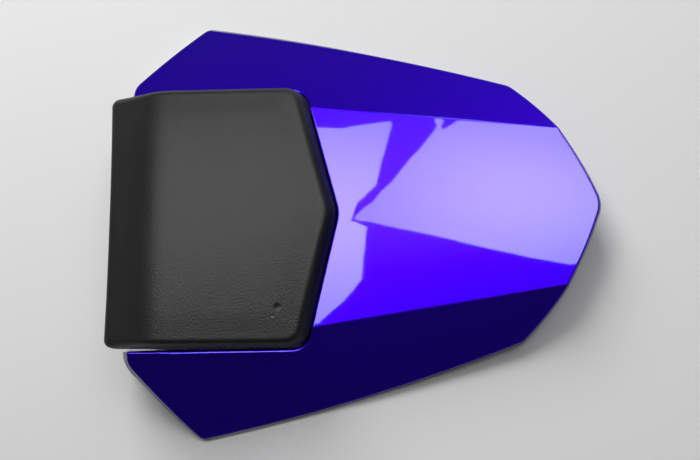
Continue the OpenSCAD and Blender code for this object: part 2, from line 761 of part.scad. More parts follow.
cowl_shell();
base_panel();
backrest_pad();
pad_base();
pad_screws();
pad_washers();
pad_inserts();
striker_bracket();
striker_loop();
striker_bolts();
striker_nuts();
tail_tongue();
tongue_bolts();
tongue_nuts();
buffer(buffer_front_place, -1);  // buffer_front_left
buffer(buffer_front_place, 1);  // buffer_front_right
buffer(buffer_rear_place, -1);  // buffer_rear_left
buffer(buffer_rear_place, 1);  // buffer_rear_right
panel_screws();
panel_washers();
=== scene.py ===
"""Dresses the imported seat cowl: painted skin, cushioned pad, finishes of the hardware, and the stage.

All lengths are in metres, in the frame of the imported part: +X to the tail, +Z up.
"""

import math

import bmesh
import bpy
from bpy.props import FloatProperty, FloatVectorProperty, IntProperty, PointerProperty
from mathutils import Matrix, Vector
from mathutils.bvhtree import BVHTree


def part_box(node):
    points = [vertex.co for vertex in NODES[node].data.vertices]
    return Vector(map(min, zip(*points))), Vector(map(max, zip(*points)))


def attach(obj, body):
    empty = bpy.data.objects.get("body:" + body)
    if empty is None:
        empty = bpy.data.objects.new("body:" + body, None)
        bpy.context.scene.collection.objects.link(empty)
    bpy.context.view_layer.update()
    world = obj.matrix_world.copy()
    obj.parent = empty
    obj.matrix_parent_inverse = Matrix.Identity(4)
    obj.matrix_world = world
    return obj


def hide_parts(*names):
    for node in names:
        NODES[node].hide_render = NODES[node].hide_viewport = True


bl_info = {
    "name": "Seat cowl dressing",
    "version": (1, 0, 0),
    "blender": (4, 5, 0),
    "location": "View3D > Sidebar > Seat Cowl",
    "description": "Builds the painted skin, the pad, the finishes and the stage of a seat cowl",
    "category": "Object",
}

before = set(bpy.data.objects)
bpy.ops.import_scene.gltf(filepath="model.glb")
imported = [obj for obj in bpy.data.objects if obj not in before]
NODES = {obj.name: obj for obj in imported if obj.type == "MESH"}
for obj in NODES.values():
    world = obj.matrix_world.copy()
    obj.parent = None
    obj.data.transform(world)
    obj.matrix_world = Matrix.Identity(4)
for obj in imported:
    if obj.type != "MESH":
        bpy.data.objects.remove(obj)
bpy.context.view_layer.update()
MM = 0.001
PAD_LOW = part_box("backrest_pad")[0]
# Points closer than this are one point
WELD = 0.001 * MM
# These mirror a point, and a point of the plan, across the middle plane
MIRROR = Vector((1, -1, 1))
FLIP = MIRROR.xy


# Settings and colours

def length(name, default, description):
    """A setting that is a length."""
    return FloatProperty(name=name, description=description, default=default, unit="LENGTH")


def angle(name, degrees, description):
    """A setting that is an angle."""
    return FloatProperty(name=name, description=description, default=math.radians(degrees), subtype="ANGLE")


def factor(name, default, description):
    """A setting between 0 and 1."""
    return FloatProperty(name=name, description=description, default=default, min=0, max=1, subtype="FACTOR")


def number(name, default, description, unit="NONE"):
    """A setting that is a plain number, or has a unit of its own."""
    return FloatProperty(name=name, description=description, default=default, unit=unit)


def tint(name, text, description):
    """A setting that is a colour, from its sRGB hex value."""
    return FloatVectorProperty(name=name, description=description, default=hex_colour(text)[:3],
                               size=3, min=0, max=1, subtype="COLOR")


def hex_colour(text):
    """Linear red, green, blue and alpha of an sRGB hex colour."""
    channels = [int(text[i : i + 2], 16) / 255 for i in (0, 2, 4)]
    linear = [c / 12.92 if c <= 0.04045 else ((c + 0.055) / 1.055) ** 2.4 for c in channels]
    return (*linear, 1.0)


# Nodes

def add_node(tree, kind, inputs=None, **settings):
    """Adds a node with its settings; each of its inputs gets a value, or the socket that feeds it."""
    node = tree.nodes.new(kind)
    for key, value in settings.items():
        setattr(node, key, value)
    for key, value in (inputs or {}).items():
        if isinstance(value, bpy.types.NodeSocket):
            tree.links.new(value, node.inputs[key])
        else:
            node.inputs[key].default_value = value
    return node


def empty_tree(owner):
    """The emptied node tree of a material or world."""
    owner.use_nodes = True
    owner.node_tree.nodes.clear()
    return owner.node_tree


def new_material(name, values=None):
    """A material with its tree, its surface shader with these values, and Object coordinates."""
    material = bpy.data.materials.new(name)
    tree = empty_tree(material)
    output = add_node(tree, "ShaderNodeOutputMaterial")
    shader = add_node(tree, "ShaderNodeBsdfPrincipled", values)
    tree.links.new(shader.outputs["BSDF"], output.inputs["Surface"])
    place = add_node(tree, "ShaderNodeTexCoord").outputs["Object"]
    return material, tree, shader, place


def per_metre(size):
    """Scale of a texture whose cells measure this many metres."""
    return 1.0 / size


def cloudy(tree, place, size, detail):
    """Soft noise of this size over the surface."""
    noise = add_node(tree, "ShaderNodeTexNoise", {
        "Scale": per_metre(size), "Detail": detail, "Vector": place})
    return noise.outputs["Fac"]


def mottled(tree, place, size, detail, tones):
    """The colour of a surface that wanders between two tones."""
    ramp = add_node(tree, "ShaderNodeValToRGB", {"Fac": cloudy(tree, place, size, detail)})
    for element, tone in zip(ramp.color_ramp.elements, tones):
        element.color = hex_colour(tone)
    return ramp.outputs["Color"]


def relief(tree, height, strength, depth, target, inverted=False):
    """Gives a shader's normal the relief of a height."""
    bump = add_node(tree, "ShaderNodeBump", {
        "Strength": strength, "Distance": depth, "Height": height}, invert=inverted)
    tree.links.new(bump.outputs["Normal"], target)


# Meshes

def scene_object(data, name):
    """An object of this name in the scene."""
    thing = bpy.data.objects.new(name, data)
    bpy.context.scene.collection.objects.link(thing)
    return thing


def new_piece(name, mesh):
    """Links a mesh as a piece that rides on the only body."""
    mesh.name = name
    piece = scene_object(mesh, name)
    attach(piece, "root")
    return piece


def mesh_from(bm, name):
    """The mesh that a bmesh holds; the bmesh goes."""
    mesh = bpy.data.meshes.new(name)
    bm.to_mesh(mesh)
    bm.free()
    return mesh


def applied(carrier):
    """The mesh of an object after its modifiers; the object goes."""
    evaluated = carrier.evaluated_get(bpy.context.evaluated_depsgraph_get())
    made = bpy.data.meshes.new_from_object(evaluated)
    bpy.data.objects.remove(carrier)
    return made


def with_modifiers(mesh, modifiers):
    """The mesh after these modifiers, each a type with its settings."""
    carrier = scene_object(mesh, "carrier")
    for kind, settings in modifiers:
        modifier = carrier.modifiers.new(kind.title(), kind)
        for key, value in settings.items():
            setattr(modifier, key, value)
    return applied(carrier)


# The plan of the painted skin, as the solid has it

def plane_of(a, b, c):
    """Height of the plane through three points, as a function of x and y."""
    normal = (b - a).cross(c - a)
    return lambda x, y: a.z - (normal.x * (x - a.x) + normal.y * (y - a.y)) / normal.z


def plan_arc(a, b, c, radius, steps):
    """Points of an arc that rounds the plan corner b, each with its outward direction."""
    a, b, c = (Vector(p[:2]) for p in (a, b, c))
    to_a, to_c = (a - b).normalized(), (c - b).normalized()
    half = to_a.angle(to_c) / 2
    middle = b + (to_a + to_c).normalized() * radius / math.sin(half)
    start, end = (b + v * radius / math.tan(half) - middle for v in (to_a, to_c))
    turn = math.pi - 2 * half
    made = []
    for i in range(steps + 1):
        share = i / steps
        spoke = (start * math.sin(turn * (1 - share)) + end * math.sin(turn * share)) / math.sin(turn)
        made.append((middle + spoke, spoke.normalized(), share))
    return made


def bow_point(a, b, bow):
    """The control point that bows the plan line from a to b to its left, which is outward."""
    a, b = Vector(a[:2]), Vector(b[:2])
    along = (b - a).normalized()
    return (a + b) / 2 + Vector((-along.y, along.x)) * 2 * bow


def bowed(a, pull, b, spans):
    """Points between a and b on the curve with this control point, each with its outward direction."""
    made = []
    for i in range(1, spans):
        t = i / spans
        along = ((pull - a) * (1 - t) + (b - pull) * t).normalized()
        made.append((a * (1 - t) ** 2 + pull * 2 * t * (1 - t) + b * t**2, Vector((-along.y, along.x))))
    return made


class CowlPlan:
    """Corners, edges and heights of the cowl, from its sizes."""

    def __init__(self, s):
        self.s = s
        tail_x = -PAD_LOW.x
        nose_x = PAD_LOW.x + s.wing_setback
        self.vee_x = tail_x - s.vee_forward
        half = s.opening_width / 2
        self.vee_slope = s.vee_depth / half
        excess = s.tail_round * (1 / math.cos(s.tail_slope) - 1)
        crease_y = s.crease_rear_width / 2
        crease_end = tail_x + excess - math.tan(s.tail_slope) * crease_y
        front_y = s.crease_front_width / 2
        self.crease_front = Vector((self.vee_x - self.vee_slope * front_y, front_y, s.crease_front_height))
        self.crease_rear = Vector((crease_end, crease_y, s.crease_rear_height))
        self.wing_corner = Vector((nose_x + s.wing_sweep, s.overall_width / 2, s.wing_corner_height))
        self.facet = plane_of(self.crease_front, self.crease_rear, self.wing_corner)
        self.flat_panel = plane_of(self.crease_front, self.crease_rear, self.crease_front * MIRROR)
        self.rear_corner = Vector((tail_x - s.rear_corner_forward, s.rear_width / 2, 0))
        self.nose = Vector((nose_x, half, 0))
        self.tail_point = Vector((tail_x + excess, 0, 0))
        crease, tail = self.crease_rear.xy - self.rear_corner.xy, self.tail_point.xy - self.crease_rear.xy
        self.crease_turn = crease.angle(tail)
        # Height over which the panel and the facet blend, from the fillet's radius and their turn
        x, y = (self.crease_front.xy + self.crease_rear.xy) / 2
        step = s.wall
        turn = abs(self.facet(x, y + step) - self.panel(x, y + step)) / step
        self.crease_blend = s.crease_fillet * math.tan(math.atan(turn) / 2) * turn

    def panel_half(self, x):
        """Half the width of the centre panel between its creases."""
        a, b = self.crease_front, self.crease_rear
        return a.y + (b.y - a.y) * (x - a.x) / (b.x - a.x)

    def panel(self, x, y):
        """Height of the crowned centre panel."""
        share = y / self.panel_half(x)
        return self.flat_panel(x, y) + self.s.panel_crown * (1 - share * share)

    def top(self, x, y):
        """Height of the whole top: the panel and the facet, blended across the crease."""
        y = abs(y)
        panel, facet = self.panel(x, y), self.facet(x, y)
        overlap = max(self.crease_blend - abs(panel - facet), 0)
        return min(panel, facet) - overlap * overlap / (4 * self.crease_blend)

    def top_slope(self, place, direction):
        """Rise of the top along a plan direction."""
        step = 0.01 * MM
        a, b = place - direction * step, place + direction * step
        return (self.top(b.x, b.y) - self.top(a.x, a.y)) / (2 * step)

    def top_normal(self, place):
        """Direction square to the top."""
        slopes = [self.top_slope(place, Vector(axis)) for axis in ((1, 0), (0, 1))]
        return Vector((-slopes[0], -slopes[1], 1)).normalized()

    def foot(self, place):
        """Height of the walls' foot: arched along the sides, and raised beside the pad."""
        s, x, y = self.s, place.x, abs(place.y)
        start, end = self.wing_corner.x + s.arch_inset, self.rear_corner.x - s.arch_inset
        near, far = self.nose.y - s.wall, self.wing_corner.y - s.arch_inset
        if x < self.wing_corner.x and y < far:
            return s.front_relief * (far - y) / (far - near)
        if not start < x < end:
            return 0.0
        chord = (end - start) / 2
        radius = (chord**2 + s.side_arch**2) / (2 * s.side_arch)
        return max(0.0, s.side_arch - radius + math.sqrt(radius**2 - (x - start - chord) ** 2))


class CowlSizes(bpy.types.PropertyGroup):
    """Sizes of the painted moulding"""

    overall_width: length("Width", 0.3034, "Across the two wing corners")
    wing_setback: length("Wing setback", 0.015, "Wings' noses behind the pad's front edge")
    wing_sweep: length("Wing sweep", 0.0423, "Wing corners behind the noses")
    wing_corner_height: length("Wing corner height", 0.002, "Height of the wing corners' edge")
    nose_width: length("Nose width", 0.010, "Width of a nose beside the pad")
    nose_inner_round: length("Nose inner round", 0.0012, "Plan radius of a nose's corner beside the pad")
    nose_round: length("Nose round", 0.012, "Plan radius between a nose and its swept edge")
    side_bow: length("Side bow", 0.0045, "Outward bow of the sides between their corners")
    front_bow: length("Front bow", 0.0012, "Outward bow of the wings' swept edges")
    tail_bow: length("Tail bow", 0.0012, "Outward bow of the rear edges between their corners")
    rear_corner_forward: length("Rear corners", 0.051, "Distance ahead of the tail tip")
    rear_width: length("Rear width", 0.1755, "Width across the rear corners")
    crease_rear_width: length("Rear crease width", 0.103, "Width across the creases' rear ends")
    crease_rear_height: length("Rear crease height", 0.023, "Height of the creases' rear ends")
    crease_front_width: length("Front crease width", 0.150, "Width across the creases at the opening")
    crease_front_height: length("Front crease height", 0.0295, "Height of the creases at the opening")
    panel_crown: length("Panel crown", 0.002, "Rise of the panel's middle over its creases")
    tail_slope: angle("Tail slope", 24.5, "Angle of the tail's edges from square across")
    tail_round: length("Tail round", 0.018, "Plan radius of the tail tip")
    opening_width: length("Opening width", 0.177, "Width of the opening between the wings")
    opening_round: length("Opening corners", 0.0145, "Plan radius of the opening's rear corners")
    opening_wall: length("Opening wall", 0.009, "Depth of the wall round the opening")
    vee_forward: length("V point", 0.168, "Distance of the V point ahead of the tail tip")
    vee_depth: length("V depth", 0.023, "Depth of the V from its corners")
    vee_round: length("V round", 0.024, "Plan radius of the V point")
    corner_round: length("Wing corner round", 0.005, "Plan radius of the wing corners")
    rear_round: length("Rear corner round", 0.012, "Plan radius of the rear corners and the creases' ends")
    nose_flare: angle("Nose flare", 33, "Outward lean of the noses' walls")
    front_flare: angle("Front flare", 26, "Outward lean of the wings' front walls")
    side_tuck: angle("Side tuck", 25, "Inward lean of the side walls")
    tail_tuck: angle("Tail tuck", 12, "Inward lean of the tail walls")
    wall: length("Wall", 0.003, "Wall of the painted moulding")
    edge_fillet: length("Edge fillet", 0.0016, "Radius of the outer edges")
    crease_fillet: length("Crease fillet", 0.004, "Radius of the creases")
    opening_fillet: length("Opening fillet", 0.002, "Radius of the opening's edge")
    inner_fillet: length("Inner fillet", 0.0002, "Least radius of the inner edges")
    side_arch: length("Side arch", 0.0012, "Rise of the side walls' arched foot")
    arch_inset: length("Arch inset", 0.012, "Arch's ends inside the corners")
    front_relief: length("Front relief", 0.013, "Rise of the front walls' foot beside the pad")


PAINTED, BARE = 0, 1
# Steps of the plan's corners, the panel's rows, the edges between corners, and the edge fillets
ARC_STEPS, ROW_SPANS, EDGE_SPANS, FILLET_STEPS = 8, 10, 10, 6
# Share of the nose's inner radius that its wall may take, so that its inner skin doesn't cross
NOSE_WALL = 0.8
# Rounds that settle the foot of a leaning wall, and halvings that find where the foot cuts a fillet
FOOT_ROUNDS, CUT_ROUNDS = 3, 30
# A fillet that ends within the margin of the foot is cut, and its own points end at this share of the rest
CUT_MARGIN, CUT_SHARE = 0.1 * MM, 0.9
# Edges that turn more than this stay sharp in the shading
SKIN_SHARP, STRIP_SHARP = math.radians(32), math.radians(40)


class EdgePoint:
    """A point of the skin's rim: its place, its outward direction, and the wall that drops from it.

    Its opening is True round the opening, None where the opening's wall ends at a nose, and False elsewhere.
    """

    def __init__(self, place, outward, lean, fillet, opening, finish, wall):
        self.place, self.outward, self.lean = Vector(place[:2]), Vector(outward[:2]), lean
        self.fillet, self.opening, self.finish, self.wall = fillet, opening, finish, wall


def rim_points(plan):
    """The rim of the right-hand half: the V, the opening, the nose, the wing, and the edges to the tip.

    Returns the points, and the numbers of those on the panel's front and rear edges that its rows join.
    """
    s = plan.s
    nose, half = plan.nose, plan.nose.y
    back = Vector((plan.vee_x - plan.vee_slope * half, half))
    point, flipped = Vector((plan.vee_x, 0)), back * FLIP
    spread = s.rear_round * math.tan(plan.crease_turn / 2)
    points = []

    def opening(place, outward, lean=0.0, fillet=s.opening_fillet, finish=PAINTED, wall=s.wall):
        points.append(EdgePoint(place, outward, lean, fillet, True, finish, wall))

    def outer(place, outward, lean, finish=PAINTED):
        points.append(EdgePoint(place, outward, lean, s.edge_fillet, False, finish, s.wall))

    def edge(pull, corner, spans, lean, finish=PAINTED):
        """The bowed edge from the last point to the start of a corner's arc."""
        for p, n in bowed(points[-1].place, pull, corner[0][0], spans):
            outer(p, n, lean, finish)

    # The V, from its rounded point to the opening's corner, with close points where the crease starts
    vee = plan_arc(back, point, flipped, s.vee_round, 2 * ARC_STEPS)[ARC_STEPS:]
    for p, n, _ in vee:
        opening(p * FLIP, -n * FLIP)
    start, square = vee[-1][0] * FLIP, -vee[-1][1] * FLIP
    crease = plan.crease_front.xy
    along = (crease - start).normalized()
    near, far = crease - along * spread, crease + along * spread
    for i in range(1, ROW_SPANS):
        opening(start.lerp(near, i / ROW_SPANS), square)
    for i in range(ARC_STEPS + 1):
        opening(near.lerp(far, i / ARC_STEPS), square)
    front = list(range(len(points)))
    for p, n, _ in reversed(plan_arc(nose, back, point, s.opening_round, ARC_STEPS)):
        opening(p, -n)
    side_start, side_end = points[-1].place, Vector((nose.x, half))
    for i in range(1, EDGE_SPANS):
        opening(side_start.lerp(side_end, i / EDGE_SPANS), (0, -1))

    # The nose's inner corner, from the opening's wall to the flared nose, too sharp for the whole wall
    thin = min(s.wall, NOSE_WALL * s.nose_inner_round)
    nose_side = Vector((nose.x, half + s.nose_width))
    for p, n, share in plan_arc(back, side_end, nose_side, s.nose_inner_round, ARC_STEPS):
        fillet = s.opening_fillet + share * (s.edge_fillet - s.opening_fillet)
        opening(p, n, share**3 * s.nose_flare, fillet, BARE if share > 0.5 else PAINTED, thin)
    points[-1].opening = None

    # The nose and the swept front, with bare walls
    nose_turn = math.atan2(s.wing_sweep, plan.wing_corner.y - nose.y - s.nose_width)
    tangent = s.nose_round * math.tan(nose_turn / 2)
    centre = Vector((nose.x + s.nose_round, nose.y + s.nose_width - tangent))
    for i in range(ARC_STEPS + 1):
        share = i / ARC_STEPS
        turn = math.pi - share * nose_turn
        spoke = Vector((math.cos(turn), math.sin(turn)))
        lean = s.nose_flare + share * (s.front_flare - s.nose_flare)
        outer(centre + spoke * s.nose_round, spoke, lean, BARE)
    front_pull = bow_point(points[-1].place, plan.wing_corner, s.front_bow)
    side_pull = bow_point(plan.wing_corner, plan.rear_corner, s.side_bow)
    rear_pull = bow_point(plan.rear_corner, plan.crease_rear, s.tail_bow)
    tail_pull = bow_point(plan.crease_rear, plan.tail_point, s.tail_bow)
    wing = plan_arc(front_pull, plan.wing_corner, side_pull, s.corner_round, ARC_STEPS)
    edge(front_pull, wing, EDGE_SPANS, s.front_flare, BARE)

    # The wing corner, the side and the tail
    for p, n, share in wing:
        lean = s.front_flare - share * (s.side_tuck + s.front_flare)
        outer(p, n, lean, BARE if share < 0.5 else PAINTED)
    rear = plan_arc(side_pull, plan.rear_corner, rear_pull, s.rear_round, ARC_STEPS)
    edge(side_pull, rear, 2 * EDGE_SPANS, -s.side_tuck)
    for p, n, share in rear:
        outer(p, n, -s.side_tuck + share * (s.side_tuck - s.tail_tuck))
    rear_crease = plan_arc(rear_pull, plan.crease_rear, tail_pull, s.rear_round, ARC_STEPS)
    edge(rear_pull, rear_crease, EDGE_SPANS, -s.tail_tuck)
    rear_from = len(points)
    for p, n, _ in rear_crease:
        outer(p, n, -s.tail_tuck)
    tip = plan_arc(tail_pull, plan.tail_point, tail_pull * FLIP, s.tail_round, 2 * ARC_STEPS)
    edge(tail_pull, tip, ROW_SPANS, -s.tail_tuck)
    for p, n, _ in tip[: ARC_STEPS + 1]:
        outer(p, n, -s.tail_tuck)
    for end in (points[0], points[-1]):
        end.place.y = end.outward.y = 0
        end.outward.normalize()
    return points, front, list(reversed(range(rear_from, len(points))))


def edge_profile(plan, point, wall_depth):
    """Outer and inner points of the fillet and the wall at a point of the rim, from the top to the foot."""
    s = plan.s
    height = plan.top(*point.place)
    slope = plan.top_slope(point.place, point.outward)
    inward = Vector((-1, -slope)).normalized()
    down = Vector((math.sin(point.lean), -math.cos(point.lean)))
    half = inward.angle(down) / 2
    bisector = (inward + down).normalized()
    sides = []
    inner_radius = max(point.fillet - point.wall, s.inner_fillet)
    for inset, radius in ((0, point.fillet), (point.wall, inner_radius)):
        corner = Vector((0, height)) + bisector * inset / math.sin(half)
        centre = corner + bisector * radius / math.sin(half)
        first = (corner + inward * radius / math.tan(half) - centre).normalized()
        last = (corner + down * radius / math.tan(half) - centre).normalized()
        full = math.pi - 2 * half

        def on_arc(share):
            blend = first * math.sin(full * (1 - share)) + last * math.sin(full * share)
            return centre + blend / math.sin(full) * radius

        foot = height - wall_depth if wall_depth else plan.foot(point.place)
        for _ in range(FOOT_ROUNDS):
            bottom = corner + down * (corner.y - foot) / -down.y
            if not wall_depth:
                foot = plan.foot(point.place + point.outward * bottom.x)
        reach = 1.0
        if on_arc(1.0).y < foot + CUT_MARGIN:
            low, high = 0.0, 1.0
            for _ in range(CUT_ROUNDS):
                middle = (low + high) / 2
                low, high = (middle, high) if on_arc(middle).y > foot else (low, middle)
            bottom = on_arc(low)
            reach = CUT_SHARE * low
        flat = [on_arc(reach * i / FILLET_STEPS) for i in range(FILLET_STEPS + 1)] + [bottom]
        sides.append([Vector((*(point.place + point.outward * q.x), q.y)) for q in flat])
    return sides


def cowl_moulding(plan):
    """The painted moulding: a crowned panel and facets, filleted into walls, with its full thickness."""
    s = plan.s
    points, front, rear = rim_points(plan)
    outer, inner, faces = [], [], []

    def add(out_point, in_point):
        outer.append(out_point)
        inner.append(in_point)
        return len(outer) - 1

    # Columns of vertices down the fillets and walls; the last nose corner also ends the opening's wall
    columns = []
    for point in points:
        if point.opening is None:
            full = edge_profile(plan, point, 0)
            short = edge_profile(plan, point, s.opening_wall)
            column = [add(o, i) for o, i in zip(full[0][:-1], full[1][:-1])]
            middle = add(short[0][-1], short[1][-1])
            columns.append((column + [middle], column + [middle, add(full[0][-1], full[1][-1])]))
        else:
            profile = edge_profile(plan, point, s.opening_wall if point.opening else 0)
            column = [add(o, i) for o, i in zip(*profile)]
            columns.append((column, column))
    for (_, left), (right, _), point, following in zip(columns, columns[1:], points, points[1:]):
        finish = max(point.finish, following.finish)
        for k in range(FILLET_STEPS):
            faces.append(([left[k], left[k + 1], right[k + 1], right[k]], PAINTED))
        faces.append((left[FILLET_STEPS:] + [right[-1], right[-2]], finish))

    # Rows of the panel and the creases, between the tops of the front and rear columns
    rows = []
    for a, b in zip(front, rear):
        start, end = columns[a][0][0], columns[b][0][0]
        row = [start]
        for j in range(1, ROW_SPANS):
            place = outer[start].xy.lerp(outer[end].xy, j / ROW_SPANS)
            top = Vector((*place, plan.top(*place)))
            row.append(add(top, top - plan.top_normal(place) * s.wall))
        rows.append(row + [end])
    for left, right in zip(rows, rows[1:]):
        for j in range(ROW_SPANS):
            faces.append(([left[j], left[j + 1], right[j + 1], right[j]], PAINTED))
    rim_tops = [columns[k][0][0] for k in range(front[-1], rear[-1] + 1)]
    faces.append((rim_tops + rows[-1][-2:0:-1], PAINTED))

    # Both skins, and the rim between them
    bm = bmesh.new()
    skins = [[bm.verts.new(p) for p in skin] for skin in (outer, inner)]
    uses = {}
    for corners, finish in faces:
        bm.faces.new([skins[0][k] for k in corners]).material_index = finish
        bm.faces.new([skins[1][k] for k in reversed(corners)]).material_index = BARE
        for a, b in zip(corners, corners[1:] + corners[:1]):
            uses[frozenset((a, b))] = uses.get(frozenset((a, b)), 0) + 1
    for pair, count in uses.items():
        a, b = pair
        on_middle = max(abs(outer[a].y), abs(outer[b].y)) < WELD
        if count == 1 and not on_middle:
            bm.faces.new([skins[0][a], skins[0][b], skins[1][b], skins[1][a]]).material_index = BARE
    bmesh.ops.mirror(bm, geom=bm.verts[:] + bm.edges[:] + bm.faces[:], axis="Y", merge_dist=WELD)
    bmesh.ops.remove_doubles(bm, verts=bm.verts, dist=WELD)
    bmesh.ops.recalc_face_normals(bm, faces=bm.faces)
    return mesh_from(bm, "cowl_moulding")


class COWL_OT_shell(bpy.types.Operator):
    """Builds the painted moulding: crowned panel, facets, leaning walls and the opening's wall"""

    bl_idname = "cowl.shell"
    bl_label = "Painted shell"

    def execute(self, context):
        made = cowl_moulding(CowlPlan(context.scene.cowl_sizes))
        made.materials.append(blue_paint())
        made.materials.append(bare_plastic())
        made.shade_smooth()
        made.set_sharp_from_angle(angle=SKIN_SHARP)
        made = with_modifiers(made, [("WEIGHTED_NORMAL", {"keep_sharp": True, "weight": 80})])
        piece = new_piece("cowl_skin", made)
        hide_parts("cowl_shell")
        return {"FINISHED"}


# What repeats or follows a line: ribs, screw bosses and the raw edge

class MouldingSizes(bpy.types.PropertyGroup):
    """Sizes of the ribs, the screw bosses and the raw edge"""

    cross_ribs: IntProperty(name="Cross ribs", description="Ribs across the centre panel", default=3, min=1)
    rib_margin: length("Rib margin", 0.014, "Ribs' ends inside the creases, opening and tail")
    rib_wall: length("Rib wall", 0.002, "Thickness of the ribs")
    rib_foot: length("Rib foot", 0.0155, "Height of the ribs' free edge")
    long_spread: length("Long ribs, front", 0.052, "Distance between the long ribs' front ends")
    long_close: length("Long ribs, rear", 0.036, "Distance between the long ribs' rear ends")
    boss_radius: length("Boss radius", 0.0045, "Radius of the screw bosses")
    boss_foot: length("Boss foot", 0.0117, "Height of the screw bosses' feet")
    strip_width: length("Strip width", 0.0024, "Width of the raw edge under the paint")
    strip_height: length("Strip height", 0.001, "Thickness of the raw edge")
    strip_drop: length("Strip drop", 0.003, "Raw edge below the painted one")
    strip_inset: length("Strip inset", 0.0007, "Raw edge's middle inside the painted edge")


def new_tree(name, sizes):
    """A Geometry Nodes tree that takes lines, these sizes and a material."""
    tree = bpy.data.node_groups.new(name, "GeometryNodeTree")
    sockets = [("Lines", "Geometry")] + [(size, "Float") for size in sizes] + [("Finish", "Material")]
    for label, kind in sockets:
        tree.interface.new_socket(label, in_out="INPUT", socket_type="NodeSocket" + kind)
    tree.interface.new_socket("Geometry", in_out="OUTPUT", socket_type="NodeSocketGeometry")
    return tree, add_node(tree, "NodeGroupInput").outputs


def end_tree(tree, start, geometry):
    """Makes the tree's instances real and gives them their material."""
    real = add_node(tree, "GeometryNodeRealizeInstances", {"Geometry": geometry})
    dressed = add_node(tree, "GeometryNodeSetMaterial", {
        "Geometry": real.outputs["Geometry"], "Material": start["Finish"]})
    add_node(tree, "NodeGroupOutput", {"Geometry": dressed.outputs["Geometry"]})
    return tree


def height_over(tree, foot):
    """The height of a point over a foot."""
    place = add_node(tree, "GeometryNodeInputPosition").outputs["Position"]
    height = add_node(tree, "ShaderNodeSeparateXYZ", {"Vector": place}).outputs["Z"]
    over = add_node(tree, "ShaderNodeMath", {0: height, 1: foot}, operation="SUBTRACT")
    return over.outputs["Value"]


def ribs_tree():
    """Ribs that hang from their top lines down to one foot."""
    tree, start = new_tree("hanging_ribs", ("Foot", "Wall"))
    depth = height_over(tree, start["Foot"])
    way = add_node(tree, "ShaderNodeCombineXYZ", {"Z": depth}).outputs["Vector"]
    down = add_node(tree, "ShaderNodeVectorMath", {"Scale": -1.0, 0: way}, operation="SCALE")
    sheet = add_node(tree, "GeometryNodeExtrudeMesh", {
        "Offset Scale": 1.0, "Mesh": start["Lines"],
        "Offset": down.outputs["Vector"]}, mode="EDGES").outputs["Mesh"]
    thick = add_node(tree, "GeometryNodeExtrudeMesh", {
        "Individual": False, "Mesh": sheet, "Offset Scale": start["Wall"]}, mode="FACES").outputs["Mesh"]
    back = add_node(tree, "GeometryNodeFlipFaces", {"Mesh": sheet}).outputs["Mesh"]
    both = add_node(tree, "GeometryNodeJoinGeometry", {0: back})
    tree.links.new(thick, both.inputs[0])
    welded = add_node(tree, "GeometryNodeMergeByDistance", {
        "Distance": 0.01 * MM, "Geometry": both.outputs["Geometry"]})
    return end_tree(tree, start, welded.outputs["Geometry"])


def bosses_tree():
    """Round bosses that hang from their points down to one foot."""
    tree, start = new_tree("hanging_bosses", ("Foot", "Radius"))
    post = add_node(tree, "GeometryNodeMeshCylinder", {
        "Vertices": 32, "Depth": 1.0, "Radius": start["Radius"]}, fill_type="NGON").outputs["Mesh"]
    hung = add_node(tree, "GeometryNodeTransform", {"Translation": (0, 0, -0.5), "Geometry": post})
    depth = height_over(tree, start["Foot"])
    stretch = add_node(tree, "ShaderNodeCombineXYZ", {"X": 1.0, "Y": 1.0, "Z": depth})
    placed = add_node(tree, "GeometryNodeInstanceOnPoints", {
        "Points": start["Lines"], "Instance": hung.outputs["Geometry"], "Scale": stretch.outputs["Vector"]})
    return end_tree(tree, start, placed.outputs["Instances"])


def strip_tree():
    """A strip with softened corners that follows a line and stays level."""
    tree, start = new_tree("edge_strip", ("Width", "Height"))
    path = add_node(tree, "GeometryNodeMeshToCurve", {"Mesh": start["Lines"]}).outputs["Curve"]
    level = add_node(tree, "GeometryNodeSetCurveNormal", {"Curve": path}, mode="Z_UP")
    section = add_node(tree, "GeometryNodeCurvePrimitiveQuadrilateral", {
        "Width": start["Width"], "Height": start["Height"]})
    soft = add_node(tree, "GeometryNodeFilletCurve", {
        "Count": 3, "Radius": 0.3 * MM, "Curve": section.outputs["Curve"]}, mode="POLY")
    swept = add_node(tree, "GeometryNodeCurveToMesh", {
        "Fill Caps": True, "Curve": level.outputs["Curve"], "Profile Curve": soft.outputs["Curve"]})
    return end_tree(tree, start, swept.outputs["Mesh"])


def lines_mesh(lines):
    """A mesh of open lines, or of loose points where a line has one."""
    mesh = bpy.data.meshes.new("lines")
    edges, start = [], 0
    for line in lines:
        edges += [(start + i, start + i + 1) for i in range(len(line) - 1)]
        start += len(line)
    mesh.from_pydata([p for line in lines for p in line], edges, [])
    return mesh


def grown(lines, tree, values):
    """The mesh that a tree makes of these lines, with its inputs set by their identifiers."""
    carrier = scene_object(lines_mesh(lines), "carrier")
    modifier = carrier.modifiers.new("Nodes", "NODES")
    modifier.node_group = tree
    for item in tree.interface.items_tree:
        if item.in_out == "INPUT" and item.name in values:
            modifier[item.identifier] = values[item.name]
    made = applied(carrier)
    bm = bmesh.new()
    bm.from_mesh(made)
    bmesh.ops.recalc_face_normals(bm, faces=bm.faces)
    bm.to_mesh(made)
    bm.free()
    return made


